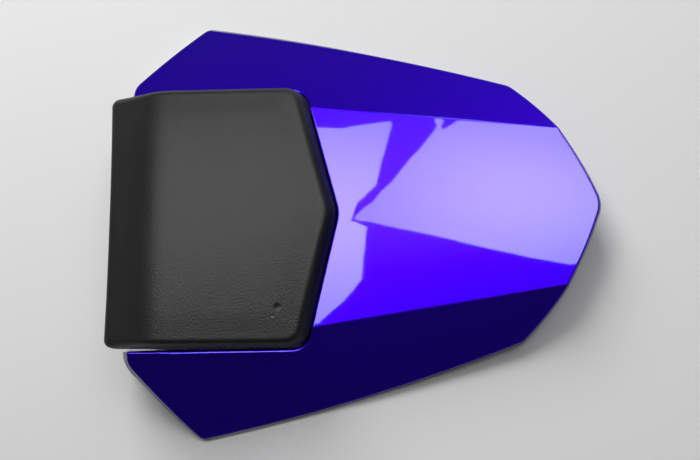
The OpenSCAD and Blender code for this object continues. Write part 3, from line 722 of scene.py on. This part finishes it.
def island_middles(name):
    """The middle of each loose part of a solid, in plan."""
    bm = bmesh.new()
    bm.from_mesh(NODES[name].data)
    bmesh.ops.remove_doubles(bm, verts=bm.verts, dist=0.01 * MM)
    left, middles = set(bm.verts), []
    for seed in bm.verts:
        if seed not in left:
            continue
        found = ends = {seed}
        while ends:
            ends = {v for end in ends for edge in end.link_edges for v in edge.verts} - found
            found = found | ends
        left -= found
        middles.append([(min(v.co[k] for v in found) + max(v.co[k] for v in found)) / 2 for k in (0, 1)])
    bm.free()
    return middles


# Spans of a rib across the panel and of a long rib
CROSS_SPANS, LONG_SPANS = 16, 12
# Share of the wall that ribs and bosses reach into, and the strip's least height in its own thicknesses
WALL_SHARE, STRIP_FLOOR = 0.9, 0.8


class COWL_OT_mouldings(bpy.types.Operator):
    """Builds the ribs and screw bosses inside the shell and the raw edge under its paint"""

    bl_idname = "cowl.mouldings"
    bl_label = "Ribs, bosses and raw edge"

    def execute(self, context):
        s = context.scene.moulding_sizes
        plan = CowlPlan(context.scene.cowl_sizes)
        finish = bare_plastic()

        def under(x, y):
            """A point just inside the underside of the skin."""
            return Vector((x, y, plan.top(x, y) - plan.s.wall * WALL_SHARE))

        front, rear = plan.vee_x + s.rib_margin, plan.crease_rear.x - s.rib_margin
        lines = []
        for i in range(1, s.cross_ribs + 1):
            x = front + (rear - front) * i / (s.cross_ribs + 1)
            half = plan.panel_half(x) - s.rib_margin
            lines.append([under(x, half * (2 * k / CROSS_SPANS - 1)) for k in range(CROSS_SPANS + 1)])
        for side in (-1, 1):
            start = Vector((front, side * s.long_spread / 2))
            end = Vector((rear, side * s.long_close / 2))
            lines.append([under(*start.lerp(end, k / LONG_SPANS)) for k in range(LONG_SPANS + 1)])
        ribs = grown(lines, ribs_tree(), {"Foot": s.rib_foot, "Wall": s.rib_wall, "Finish": finish})
        new_piece("shell_ribs", ribs)

        places = [[under(*middle)] for middle in island_middles("panel_screws")]
        sizes = {"Foot": s.boss_foot, "Radius": s.boss_radius, "Finish": finish}
        new_piece("screw_bosses", grown(places, bosses_tree(), sizes))

        points = [p for p in rim_points(plan)[0] if p.opening is False and p.finish == PAINTED]
        path = []
        for point in points:
            place = point.place - point.outward * s.strip_inset
            low = max(s.strip_height * STRIP_FLOOR, plan.top(*point.place) - s.strip_drop)
            path.append(Vector((*place, low)))
        path += [p * MIRROR for p in reversed(path[:-1])]
        sizes = {"Width": s.strip_width, "Height": s.strip_height, "Finish": finish}
        strip = grown([path], strip_tree(), sizes)
        strip.shade_smooth()
        strip.set_sharp_from_angle(angle=STRIP_SHARP)
        new_piece("raw_edge", strip)
        return {"FINISHED"}


# Finishes

def blue_paint():
    """Two-coat metallic paint on ABS: fine flakes scatter a saturated blue under a clear lacquer."""
    look = bpy.context.scene.paint_look
    # Under the lacquer the base coat has no surface of its own against the air
    material, tree, shader, place = new_material("deep_blue_lacquer", {
        "Base Color": (*look.colour, 1), "Metallic": look.metallic, "Roughness": look.roughness,
        "Specular IOR Level": 0.0, "Coat Weight": 1.0, "Coat Roughness": 0.03, "Coat IOR": 1.5})
    # Flakes of about 0.3 mm, as coarse as they need to be to show
    flakes = add_node(tree, "ShaderNodeTexVoronoi", {
        "Scale": per_metre(0.3 * MM), "Vector": place}, feature="F1")
    relief(tree, flakes.outputs["Distance"], 0.12, 0.02 * MM, shader.inputs["Normal"])
    # The lacquer's faint waves, some 12 mm long
    waves = cloudy(tree, place, 12 * MM, 1.0)
    relief(tree, waves, 0.25, 0.03 * MM, shader.inputs["Coat Normal"])
    return material


def moulded_plastic(name, colour, roughness, grain, detail, strength):
    """Injection-moulded ABS: a plain satin plastic with the fine grain of its spark-eroded mould."""
    values = {"Base Color": hex_colour(colour), "Roughness": roughness}
    material, tree, shader, place = new_material(name, values)
    relief(tree, cloudy(tree, place, grain, detail), strength, 0.05 * MM, shader.inputs["Normal"])
    return material


def bare_plastic():
    """Unpainted ABS on the moulding's inside, mid grey."""
    return moulded_plastic("bare_abs", "7C7C82", 0.5, 0.5 * MM, 2.0, 0.3)


class PaintLook(bpy.types.PropertyGroup):
    """Looks of the blue paint"""

    colour: tint("Colour", "3200CF", "Colour of the flakes")
    metallic: factor("Metallic", 0.93, "Share of flake in the base coat")
    roughness: factor("Roughness", 0.42, "Spread of the flakes' shine")


# The pad

class PadSizes(bpy.types.PropertyGroup):
    """Sizes of the pad and of its simulation"""

    gap: length("Gap", 0.0006, "Gap between the pad's widest line and the opening's sides")
    back_gap: length("Back gap", 0.0002, "Gap between the pad and the V")
    front_gap: length("Front gap", 0.0008, "How much narrower the pad is at its front edge")
    front_inset: length("Front inset", 0.0003, "Front edge behind the solid's")
    front_hollow: length("Front hollow", 0.0024, "Hollow of the front edge between its corners")
    front_height: length("Front height", 0.0405, "Height of the front edge's top")
    lip: length("Lip", 0.0012, "Height of the front edge's widest line over the foot")
    crease_back: length("Crease", 0.0414, "Crease behind the front edge")
    crease_height: length("Crease height", 0.0575, "Height of the crease between the front face and the top")
    crease_blend: length("Crease blend", 0.0055, "Height over which the two faces blend")
    point_height: length("Point height", 0.0372, "Height of the top at the V point")
    crown: length("Crown", 0.003, "Rise of the middle over the edges")
    roll: length("Rolled edge", 0.0064, "Width of the rolled edge at the sides and the V")
    front_roll: length("Front roll", 0.004, "Width of the front edge's roll")
    foot_inset: length("Foot inset", 0.0015, "Inset of the foot from the widest line")
    front_round: length("Front corners", 0.006, "Plan radius of the front corners")
    voxel: length("Voxel", 0.003, "Cell of the remeshed pad")
    start_inset: length("Start inset", 0.0006, "How much smaller the pad starts before it swells")
    swell: length("Swell", 0.0012, "Most that a point of the skin may move")
    pressure: number("Pressure", 4.0, "Air pressure of the cloth simulation")
    frames: IntProperty(name="Frames", description="Steps of the simulation", default=20)
    plate: length("Plate", 0.005, "Thickness of the plate under the foam")
    platform_height: length("Platform", 0.0155, "Height of the platform at the V point")
    platform_tilt: angle("Platform tilt", 5.5, "Slope of the platform")


# Places along the pad's sides, behind the crease, and the widest line's heights at the crease and at them
SIDE_PLACES = (-0.066, -0.013)
SIDE_HEIGHTS = (0.039, 0.033, 0.0262)
# Spans of half the front edge, of a side and of half the V; rings of the top and of the rolled edge
FRONT_SPANS, SIDE_SPANS, VEE_SPANS, TOP_RINGS, ROLL_RINGS = 20, 40, 20, 12, 8
# The top keeps all that it swelled this many rolls in from the edge
FREE_ROLLS = 4


class PadForm:
    """Heights and outline of the pad, which sits in the cowl's opening."""

    def __init__(self, s, plan):
        self.s, self.plan = s, plan
        self.front_x = PAD_LOW.x + s.front_inset
        self.half = plan.nose.y - s.gap
        self.back_x = plan.vee_x - s.back_gap * math.hypot(1, plan.vee_slope)
        self.crease_x = self.front_x + s.crease_back
        self.top_fall = (s.crease_height - s.point_height) / (self.back_x - self.crease_x)
        self.face_rise = (s.crease_height - s.front_height) / s.crease_back

    def foot(self, x):
        """Height of the plate's top, which the pad sits on."""
        s = self.s
        platform = s.platform_height + (self.plan.vee_x - x) * math.tan(s.platform_tilt)
        return platform + s.plate / math.cos(s.platform_tilt)

    def top(self, x, y):
        """Height of the top and the front face, blended over the soft crease."""
        s = self.s
        back = s.crease_height - (x - self.crease_x) * self.top_fall
        face = s.crease_height + (x - self.crease_x) * self.face_rise
        overlap = max(s.crease_blend - abs(back - face), 0)
        share = min(1, abs(y) / self.half)
        return min(back, face) - overlap * overlap / (4 * s.crease_blend) + s.crown * (1 - share * share)

    def widest(self, x):
        """Height of the widest line, falling from beside the crease to the V and to the front lip."""
        side_x = (self.front_x, self.crease_x, *SIDE_PLACES)
        side_z = (self.foot(self.front_x) + self.s.lip, *SIDE_HEIGHTS)
        for x0, x1, z0, z1 in zip(side_x, side_x[1:], side_z, side_z[1:]):
            if x <= x1:
                share = max(0, (x - x0) / (x1 - x0))
                return z0 + (z1 - z0) * share
        return side_z[-1]

    def edge_share(self, place):
        """1 on the rolled edge and the sides, falling to 0 where the top is free."""
        s, y = self.s, abs(place.y)
        to_side = self.half - y
        to_vee = (self.back_x - self.plan.vee_slope * y - place.x) / math.hypot(1, self.plan.vee_slope)
        inside = min(to_side, to_vee, place.x - self.front_x)
        below = self.top(place.x, place.y) - s.roll - place.z
        share = min(1, max(0, (FREE_ROLLS - inside / s.roll) / (FREE_ROLLS - 1)))
        return 1.0 if below > 0 else share * share * (3 - 2 * share)

    def outline(self):
        """The closed outline at the widest line: points, outward directions and shares of the full roll."""
        s, plan = self.s, self.plan
        back = Vector((self.back_x - plan.vee_slope * self.half, self.half))
        point = Vector((self.back_x, 0))
        front = Vector((self.front_x, self.half - s.front_gap))
        middle = Vector((self.front_x, 0))
        corner = plan_arc(middle, front, back, s.front_round, ARC_STEPS)
        rear = plan_arc(front, back, point, plan.s.opening_round, ARC_STEPS)
        vee = plan_arc(back, point, back * FLIP, plan.s.vee_round, 2 * ARC_STEPS)[: ARC_STEPS + 1]
        half = []
        for i in range(FRONT_SPANS):
            place = middle.lerp(corner[0][0], i / FRONT_SPANS)
            place.x += s.front_hollow * (1 - (i / FRONT_SPANS) ** 2)
            half.append((place, Vector((-1, 0)), 0.0))
        half += corner
        for arc, outward, spans in ((rear, corner[-1][1], SIDE_SPANS), (vee, vee[0][1], VEE_SPANS)):
            start = half[-1][0]
            half += [(start.lerp(arc[0][0], i / spans), outward, 1.0) for i in range(1, spans)]
            half += [(p, n, 1.0) for p, n, _ in arc]
        other = [(p * FLIP, n * FLIP, share) for p, n, share in half[1:-1]]
        return half + list(reversed(other))


def pad_block(form):
    """The pad as a closed mesh: a fan of its top, the rolled edge, the side and the flat foot."""
    s = form.s
    outline = [(p, n, s.front_roll + share * (s.roll - s.front_roll)) for p, n, share in form.outline()]
    heart = Vector((form.front_x / 2, 0))
    rings = []
    for k in range(1, TOP_RINGS + 1):
        flat = [heart.lerp(p - n * roll, k / TOP_RINGS) for p, n, roll in outline]
        rings.append([(q.x, q.y, form.top(*q)) for q in flat])
    for k in range(1, ROLL_RINGS + 1):
        turn = math.pi / 2 * k / ROLL_RINGS
        ring = []
        for p, n, roll in outline:
            place, low = p - n * roll * (1 - math.sin(turn)), form.widest(p.x)
            ring.append((place.x, place.y, low + (form.top(*place) - low) * math.cos(turn)))
        rings.append(ring)
    for inset in (0.5, 1.0):
        ring = []
        for p, n, _ in outline:
            place, low = p - n * s.foot_inset * inset, form.widest(p.x)
            ring.append((place.x, place.y, low + (form.foot(p.x) - low) * inset))
        rings.append(ring)
    bm = bmesh.new()
    loops = [[bm.verts.new(p) for p in ring] for ring in rings]
    centre = bm.verts.new((heart.x, heart.y, form.top(*heart)))
    for i in range(len(outline)):
        j = (i + 1) % len(outline)
        bm.faces.new([centre, loops[0][i], loops[0][j]])
        for upper, lower in zip(loops, loops[1:]):
            bm.faces.new([upper[i], lower[i], lower[j], upper[j]])
    bm.faces.new(loops[-1])
    bmesh.ops.recalc_face_normals(bm, faces=bm.faces)
    return mesh_from(bm, "pad_block")


def swollen(mesh, sizes):
    """The mesh blown up by a cloth simulation, with the movement capped."""
    rest = [v.co.copy() for v in mesh.vertices]
    pad = scene_object(mesh, "pad_simulation")
    cloth = pad.modifiers.new("Cloth", "CLOTH")
    cloth.settings.use_pressure = True
    cloth.settings.uniform_pressure_force = sizes.pressure
    cloth.settings.effector_weights.gravity = 0
    cloth.point_cache.frame_start, cloth.point_cache.frame_end = 1, sizes.frames
    scene = bpy.context.scene
    for step in range(1, sizes.frames + 1):
        scene.frame_set(step)
    evaluated = pad.evaluated_get(bpy.context.evaluated_depsgraph_get())
    blown = [v.co.copy() for v in evaluated.data.vertices]
    bpy.data.objects.remove(pad)
    scene.frame_set(1)
    for vertex, start, end in zip(mesh.vertices, rest, blown):
        move = end - start
        if move.length > sizes.swell:
            move *= sizes.swell / move.length
        vertex.co = start + move
    return mesh


def hug(mesh, shape, form):
    """Draws the rolled edge and the sides back to the pad's form; only the top keeps what it swelled."""
    for vertex in mesh.vertices:
        share = form.edge_share(vertex.co)
        near = shape.find_nearest(vertex.co)[0]
        vertex.co = vertex.co.lerp(near, share)
        vertex.co.z = max(vertex.co.z, form.foot(vertex.co.x))


class COWL_OT_pad(bpy.types.Operator):
    """Builds the backrest pad as a cushion of foam under a leather-grain skin"""

    bl_idname = "cowl.pad"
    bl_label = "Backrest pad"

    def execute(self, context):
        sizes = context.scene.pad_sizes
        form = PadForm(sizes, CowlPlan(context.scene.cowl_sizes))
        block = pad_block(form)
        shape = BVHTree.FromPolygons([v.co for v in block.vertices], [p.vertices for p in block.polygons])
        made = with_modifiers(block, [("REMESH", {"mode": "VOXEL", "voxel_size": sizes.voxel})])
        for vertex, normal in zip(made.vertices, [v.normal.copy() for v in made.vertices]):
            vertex.co -= normal * sizes.start_inset
        made = swollen(made, sizes)
        made = with_modifiers(made, [
            ("SMOOTH", {"factor": 0.5, "iterations": 4}),
            ("SUBSURF", {"levels": 1, "render_levels": 1}),
        ])
        hug(made, shape, form)
        made.shade_smooth()
        made.materials.append(pad_leather())
        piece = new_piece("pad_cushion", made)
        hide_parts("backrest_pad")
        return {"FINISHED"}


# Two small dented marks near the rear edge, one coloured black and one pale grey: place, radius and colour
NICKS = ((-0.0415, -0.0618, 3 * MM, "000000"), (-0.0446, -0.0674, 1.4 * MM, "6A6866"))
# Depth of the nicks against the pebbles' relief
NICK_DEPTH = 4.0


def pad_leather():
    """Leather-grain vinyl over foam: a pebbled, slightly shiny black that greys where the light falls."""
    values = {"Roughness": 0.46, "Specular IOR Level": 0.29}
    material, tree, shader, place = new_material("grained_vinyl", values)
    colour = mottled(tree, place, 35 * MM, 3.0, ("181718", "1F1E1F"))
    # Pebbles of about 1 mm with fine pores between them
    pebbles = add_node(tree, "ShaderNodeTexVoronoi", {
        "Scale": per_metre(0.95 * MM), "Vector": place}, feature="SMOOTH_F1")
    height = pebbles.outputs["Distance"]
    flat = add_node(tree, "ShaderNodeVectorMath", {1: (1, 1, 0), 0: place}, operation="MULTIPLY")
    for x, y, radius, tone in NICKS:
        apart = add_node(tree, "ShaderNodeVectorMath", {
            1: (x, y, 0), 0: flat.outputs["Vector"]}, operation="DISTANCE")
        share = add_node(tree, "ShaderNodeMapRange", {
            "From Max": radius, "To Min": 1.0, "To Max": 0.0,
            "Value": apart.outputs["Value"]}).outputs["Result"]
        mixed = add_node(tree, "ShaderNodeMix", {
            7: hex_colour(tone), 0: share, 6: colour}, data_type="RGBA")
        colour = mixed.outputs[2]
        height = add_node(tree, "ShaderNodeMath", {
            1: NICK_DEPTH, 0: share, 2: height}, operation="MULTIPLY_ADD").outputs["Value"]
    tree.links.new(colour, shader.inputs["Base Color"])
    relief(tree, height, 0.9, 0.2 * MM, shader.inputs["Normal"], inverted=True)
    return material


# The hardware keeps its solids and gets its finishes

def plated(name, tones, roughness):
    """Zinc-plated steel or turned brass: a bright metal with a faint mottle from the bath or the air."""
    material, tree, shader, place = new_material(name, {"Metallic": 1.0, "Roughness": roughness})
    tree.links.new(mottled(tree, place, 4 * MM, 4.0, tones), shader.inputs["Base Color"])
    return material


def moulded_rubber():
    """Black EPDM rubber, matt, with a faint bloom."""
    material, tree, shader, place = new_material("black_rubber", {"Roughness": 0.75})
    tree.links.new(mottled(tree, place, 5 * MM, 4.0, ("1C1C1D", "2B2B2B")), shader.inputs["Base Color"])
    return material


class COWL_OT_hardware(bpy.types.Operator):
    """Gives the base, the plate, the metal parts and the buffers their finishes"""

    bl_idname = "cowl.hardware"
    bl_label = "Hardware finishes"

    def execute(self, context):
        black = moulded_plastic("satin_black_abs", "2A2A2C", 0.45, 0.8 * MM, 3.0, 0.35)
        zinc = plated("bright_zinc", ("A9A9A4", "C4C4C0"), 0.3)
        steel = plated("plated_pressed_steel", ("96958F", "B3B2AC"), 0.38)
        brass = plated("turned_brass", ("B08A4A", "C9A35C"), 0.3)
        rubber = moulded_rubber()
        finishes = {
            black: ("base_panel", "pad_base"),
            zinc: ("pad_screws", "pad_washers", "striker_bolts", "striker_nuts",
                   "tongue_bolts", "tongue_nuts", "panel_screws", "panel_washers"),
            steel: ("striker_bracket", "striker_loop", "tail_tongue"),
            brass: ("pad_inserts",),
            rubber: ("buffer_front_left", "buffer_front_right", "buffer_rear_left", "buffer_rear_right"),
        }
        for material, names in finishes.items():
            for name in names:
                NODES[name].data.materials.clear()
                NODES[name].data.materials.append(material)
        return {"FINISHED"}


# The stage

class StageLook(bpy.types.PropertyGroup):
    """Looks of the floor, the lamps and the room"""

    floor_colour: tint("Floor", "D8D8D8", "Colour of the floor")
    floor_side: length("Floor side", 3.0, "Side of the square floor")
    box_height: length("Softbox height", 1.2, "Height of the softboxes over the floor")
    box_strength: number("Softboxes", 9.8, "Radiance at the middle of the softboxes")
    edge_strength: number("Softbox rims", 5.0, "Radiance at the rims of the softboxes")
    key_power: number("Key", 62.0, "Power of the soft lamp from the far side", "POWER")
    key_size: length("Key size", 1.2, "Side of the key")
    fill_power: number("Fill", 3.2, "Power of the wide fill over the near side", "POWER")
    fill_size: length("Fill size", 2.4, "Side of the fill")
    backdrop: number("Backdrop", 0.62, "Brightness that the camera sees beyond the floor")
    room: number("Room", 0.02, "Radiance of the dark room")
    wall_glow: number("Wall", 3.8, "Radiance of the lit wall behind the tail")
    ceiling_glow: number("Ceiling", 0.36, "Radiance of the ceiling between the softboxes")


# Outlines of the softboxes over the cowl, which the lacquer mirrors as two pale fields with a dark V between
SOFTBOXES = {
    "softbox_left": [
        (-0.80, -0.19), (-0.16, -0.19), (-0.09, -0.12), (-0.05, -0.05), (-0.045, 0.10), (-0.04, 0.143),
        (-0.068, 0.16), (-0.086, 0.172), (-0.076, 0.215), (-0.063, 0.25), (-0.049, 0.262), (-0.016, 0.31),
        (0.002, 0.406), (0.024, 0.494), (0.04, 0.57), (0.036, 0.582), (-0.05, 0.557), (-0.1, 0.54),
        (-0.8, 0.54)],
    "softbox_right": [
        (-0.078, 0.18), (-0.055, 0.166), (-0.015, 0.153), (0.033, 0.137), (0.108, 0.107), (0.158, 0.083),
        (0.463, -0.08), (0.54, -0.08), (0.54, 0.63), (0.224, 0.605), (0.203, 0.586), (0.17, 0.556),
        (0.172, 0.58), (0.179, 0.592), (0.173, 0.604), (0.161, 0.604), (0.155, 0.592), (0.16, 0.575),
        (0.155, 0.561), (0.112, 0.477), (0.07, 0.408), (0.024, 0.322), (-0.013, 0.269), (-0.032, 0.237),
        (-0.063, 0.203)],
}
# Where a softbox is brightest, and how far from there it has faded
SOFTBOX_MIDDLES = {"softbox_left": (-0.09, 0.2), "softbox_right": (0.33, 0.26)}
SOFTBOX_REACH = 0.58
# The softboxes are only mirrored; two soft lamps light what is matt: the key from the far side, and the fill
LAMP_PLACES = {"far_key": (-0.6, 1.7, 1.1), "near_fill": (0.2, -0.9, 1.6)}
# Directions of the wall's and the ceiling's glow, and their rims' and middles' angles from it in degrees
WALL_WAY, WALL_RIM, WALL_MIDDLE = (0.62, 0.98, 1.0), 25, 8
CEILING_WAY, CEILING_RIM, CEILING_MIDDLE = (0.03, 0.30, 1.0), 17, 3
# The camera that was fitted to the photo: its place, its turn in degrees, and its lens and sensor in mm
CAMERA_PLACE, CAMERA_TURN = (0.0689, -0.0741, 0.4501), (8.167, 8.945, -1.073)
CAMERA_LENS, CAMERA_SENSOR = 33.43, 36


def flat_polygon(name, points, height, material):
    """A horizontal sheet over an outline, facing down."""
    bm = bmesh.new()
    face = bm.faces.new([bm.verts.new((x, y, height)) for x, y in points])
    bm.normal_update()
    if face.normal.z > 0:
        face.normal_flip()
    mesh = mesh_from(bm, name)
    mesh.materials.append(material)
    return scene_object(mesh, name)


def glowing(name, look):
    """A softbox's cloth: white, brightest at its middle."""
    lamp = bpy.data.materials.new(name)
    tree = empty_tree(lamp)
    place = add_node(tree, "ShaderNodeTexCoord").outputs["Object"]
    middle = (*SOFTBOX_MIDDLES[name], look.box_height)
    apart = add_node(tree, "ShaderNodeVectorMath", {1: middle, 0: place}, operation="DISTANCE")
    fade = add_node(tree, "ShaderNodeMapRange", {
        "From Max": SOFTBOX_REACH, "To Min": look.box_strength, "To Max": look.edge_strength,
        "Value": apart.outputs["Value"]}, interpolation_type="SMOOTHSTEP")
    glow = add_node(tree, "ShaderNodeEmission", {"Strength": fade.outputs["Result"]})
    add_node(tree, "ShaderNodeOutputMaterial", {"Surface": glow.outputs["Emission"]})
    return lamp


def studio_world(look):
    """A dark room with two soft glows: the wall behind the tail, and the ceiling between the softboxes."""
    world = bpy.data.worlds.new("studio")
    tree = empty_tree(world)
    way = add_node(tree, "ShaderNodeTexCoord").outputs["Object"]
    fades = []
    for towards, rim, middle, dark, radiance in (
        (WALL_WAY, WALL_RIM, WALL_MIDDLE, look.room, look.wall_glow),
        (CEILING_WAY, CEILING_RIM, CEILING_MIDDLE, 0.0, look.ceiling_glow),
    ):
        aim = add_node(tree, "ShaderNodeVectorMath", {
            1: Vector(towards).normalized(), 0: way}, operation="DOT_PRODUCT")
        fade = add_node(tree, "ShaderNodeMapRange", {
            "From Min": math.cos(math.radians(rim)), "From Max": math.cos(math.radians(middle)),
            "To Min": dark, "To Max": radiance,
            "Value": aim.outputs["Value"]}, interpolation_type="SMOOTHSTEP")
        fades.append(fade.outputs["Result"])
    total = add_node(tree, "ShaderNodeMath", {0: fades[0], 1: fades[1]}, operation="ADD")
    room = add_node(tree, "ShaderNodeBackground", {"Strength": total.outputs["Value"]})
    backdrop = add_node(tree, "ShaderNodeBackground", {"Strength": look.backdrop})
    seen = add_node(tree, "ShaderNodeLightPath").outputs["Is Camera Ray"]
    background = add_node(tree, "ShaderNodeMixShader", {
        0: seen, 1: room.outputs["Background"], 2: backdrop.outputs["Background"]})
    add_node(tree, "ShaderNodeOutputWorld", {"Surface": background.outputs["Shader"]})
    return world


class COWL_OT_stage(bpy.types.Operator):
    """Lays the pale floor, hangs the softboxes and sets the camera"""

    bl_idname = "cowl.stage"
    bl_label = "Stage"

    def execute(self, context):
        look = context.scene.stage_look
        floor_look = new_material("pale_floor", {"Base Color": (*look.floor_colour, 1), "Roughness": 0.8})[0]
        half = look.floor_side / 2
        corners = [(-half, -half), (half, -half), (half, half), (-half, half)]
        floor = flat_polygon("floor", corners, 0, floor_look)
        floor.data.flip_normals()
        for name, outline in SOFTBOXES.items():
            box = flat_polygon(name, outline, look.box_height, glowing(name, look))
            box.visible_camera = box.visible_diffuse = False
        powers = {"far_key": (look.key_power, look.key_size), "near_fill": (look.fill_power, look.fill_size)}
        for name, (power, size) in powers.items():
            light = bpy.data.lights.new(name, "AREA")
            light.energy, light.size = power, size
            lamp = scene_object(light, name)
            lamp.location = LAMP_PLACES[name]
            lamp.rotation_euler = lamp.location.to_track_quat("Z", "Y").to_euler()
            lamp.visible_glossy = False
        context.scene.world = studio_world(look)
        lens = bpy.data.cameras.new("camera")
        lens.sensor_width, lens.lens = CAMERA_SENSOR, CAMERA_LENS
        camera = scene_object(lens, "camera")
        camera.location = CAMERA_PLACE
        camera.rotation_euler = [math.radians(a) for a in CAMERA_TURN]
        context.scene.camera = camera
        context.scene.view_settings.view_transform = "Standard"
        return {"FINISHED"}


class COWL_PT_panel(bpy.types.Panel):
    """Lists the operators and the settings"""

    bl_idname = "COWL_PT_panel"
    bl_label = "Seat cowl"
    bl_space_type = "VIEW_3D"
    bl_region_type = "UI"
    bl_category = "Seat Cowl"

    def draw(self, context):
        for operator in OPERATORS:
            self.layout.operator(operator.bl_idname)
        for group in GROUPS:
            settings = getattr(context.scene, group)
            for key in settings.bl_rna.properties.keys():
                if key not in ("rna_type", "name"):
                    self.layout.prop(settings, key)


GROUPS = {"cowl_sizes": CowlSizes, "moulding_sizes": MouldingSizes, "paint_look": PaintLook,
          "pad_sizes": PadSizes, "stage_look": StageLook}
OPERATORS = (COWL_OT_shell, COWL_OT_mouldings, COWL_OT_pad, COWL_OT_hardware, COWL_OT_stage)


def register():
    for group in GROUPS.values():
        bpy.utils.register_class(group)
    for operator in OPERATORS + (COWL_PT_panel,):
        bpy.utils.register_class(operator)
    for name, group in GROUPS.items():
        setattr(bpy.types.Scene, name, PointerProperty(type=group))


def unregister():
    for name in GROUPS:
        delattr(bpy.types.Scene, name)
    for operator in reversed(OPERATORS + (COWL_PT_panel,)):
        bpy.utils.unregister_class(operator)
    for group in reversed(GROUPS.values()):
        bpy.utils.unregister_class(group)


def main():
    register()
    bpy.ops.cowl.shell()
    bpy.ops.cowl.mouldings()
    bpy.ops.cowl.pad()
    bpy.ops.cowl.hardware()
    bpy.ops.cowl.stage()


if __name__ == "__main__":
    main()
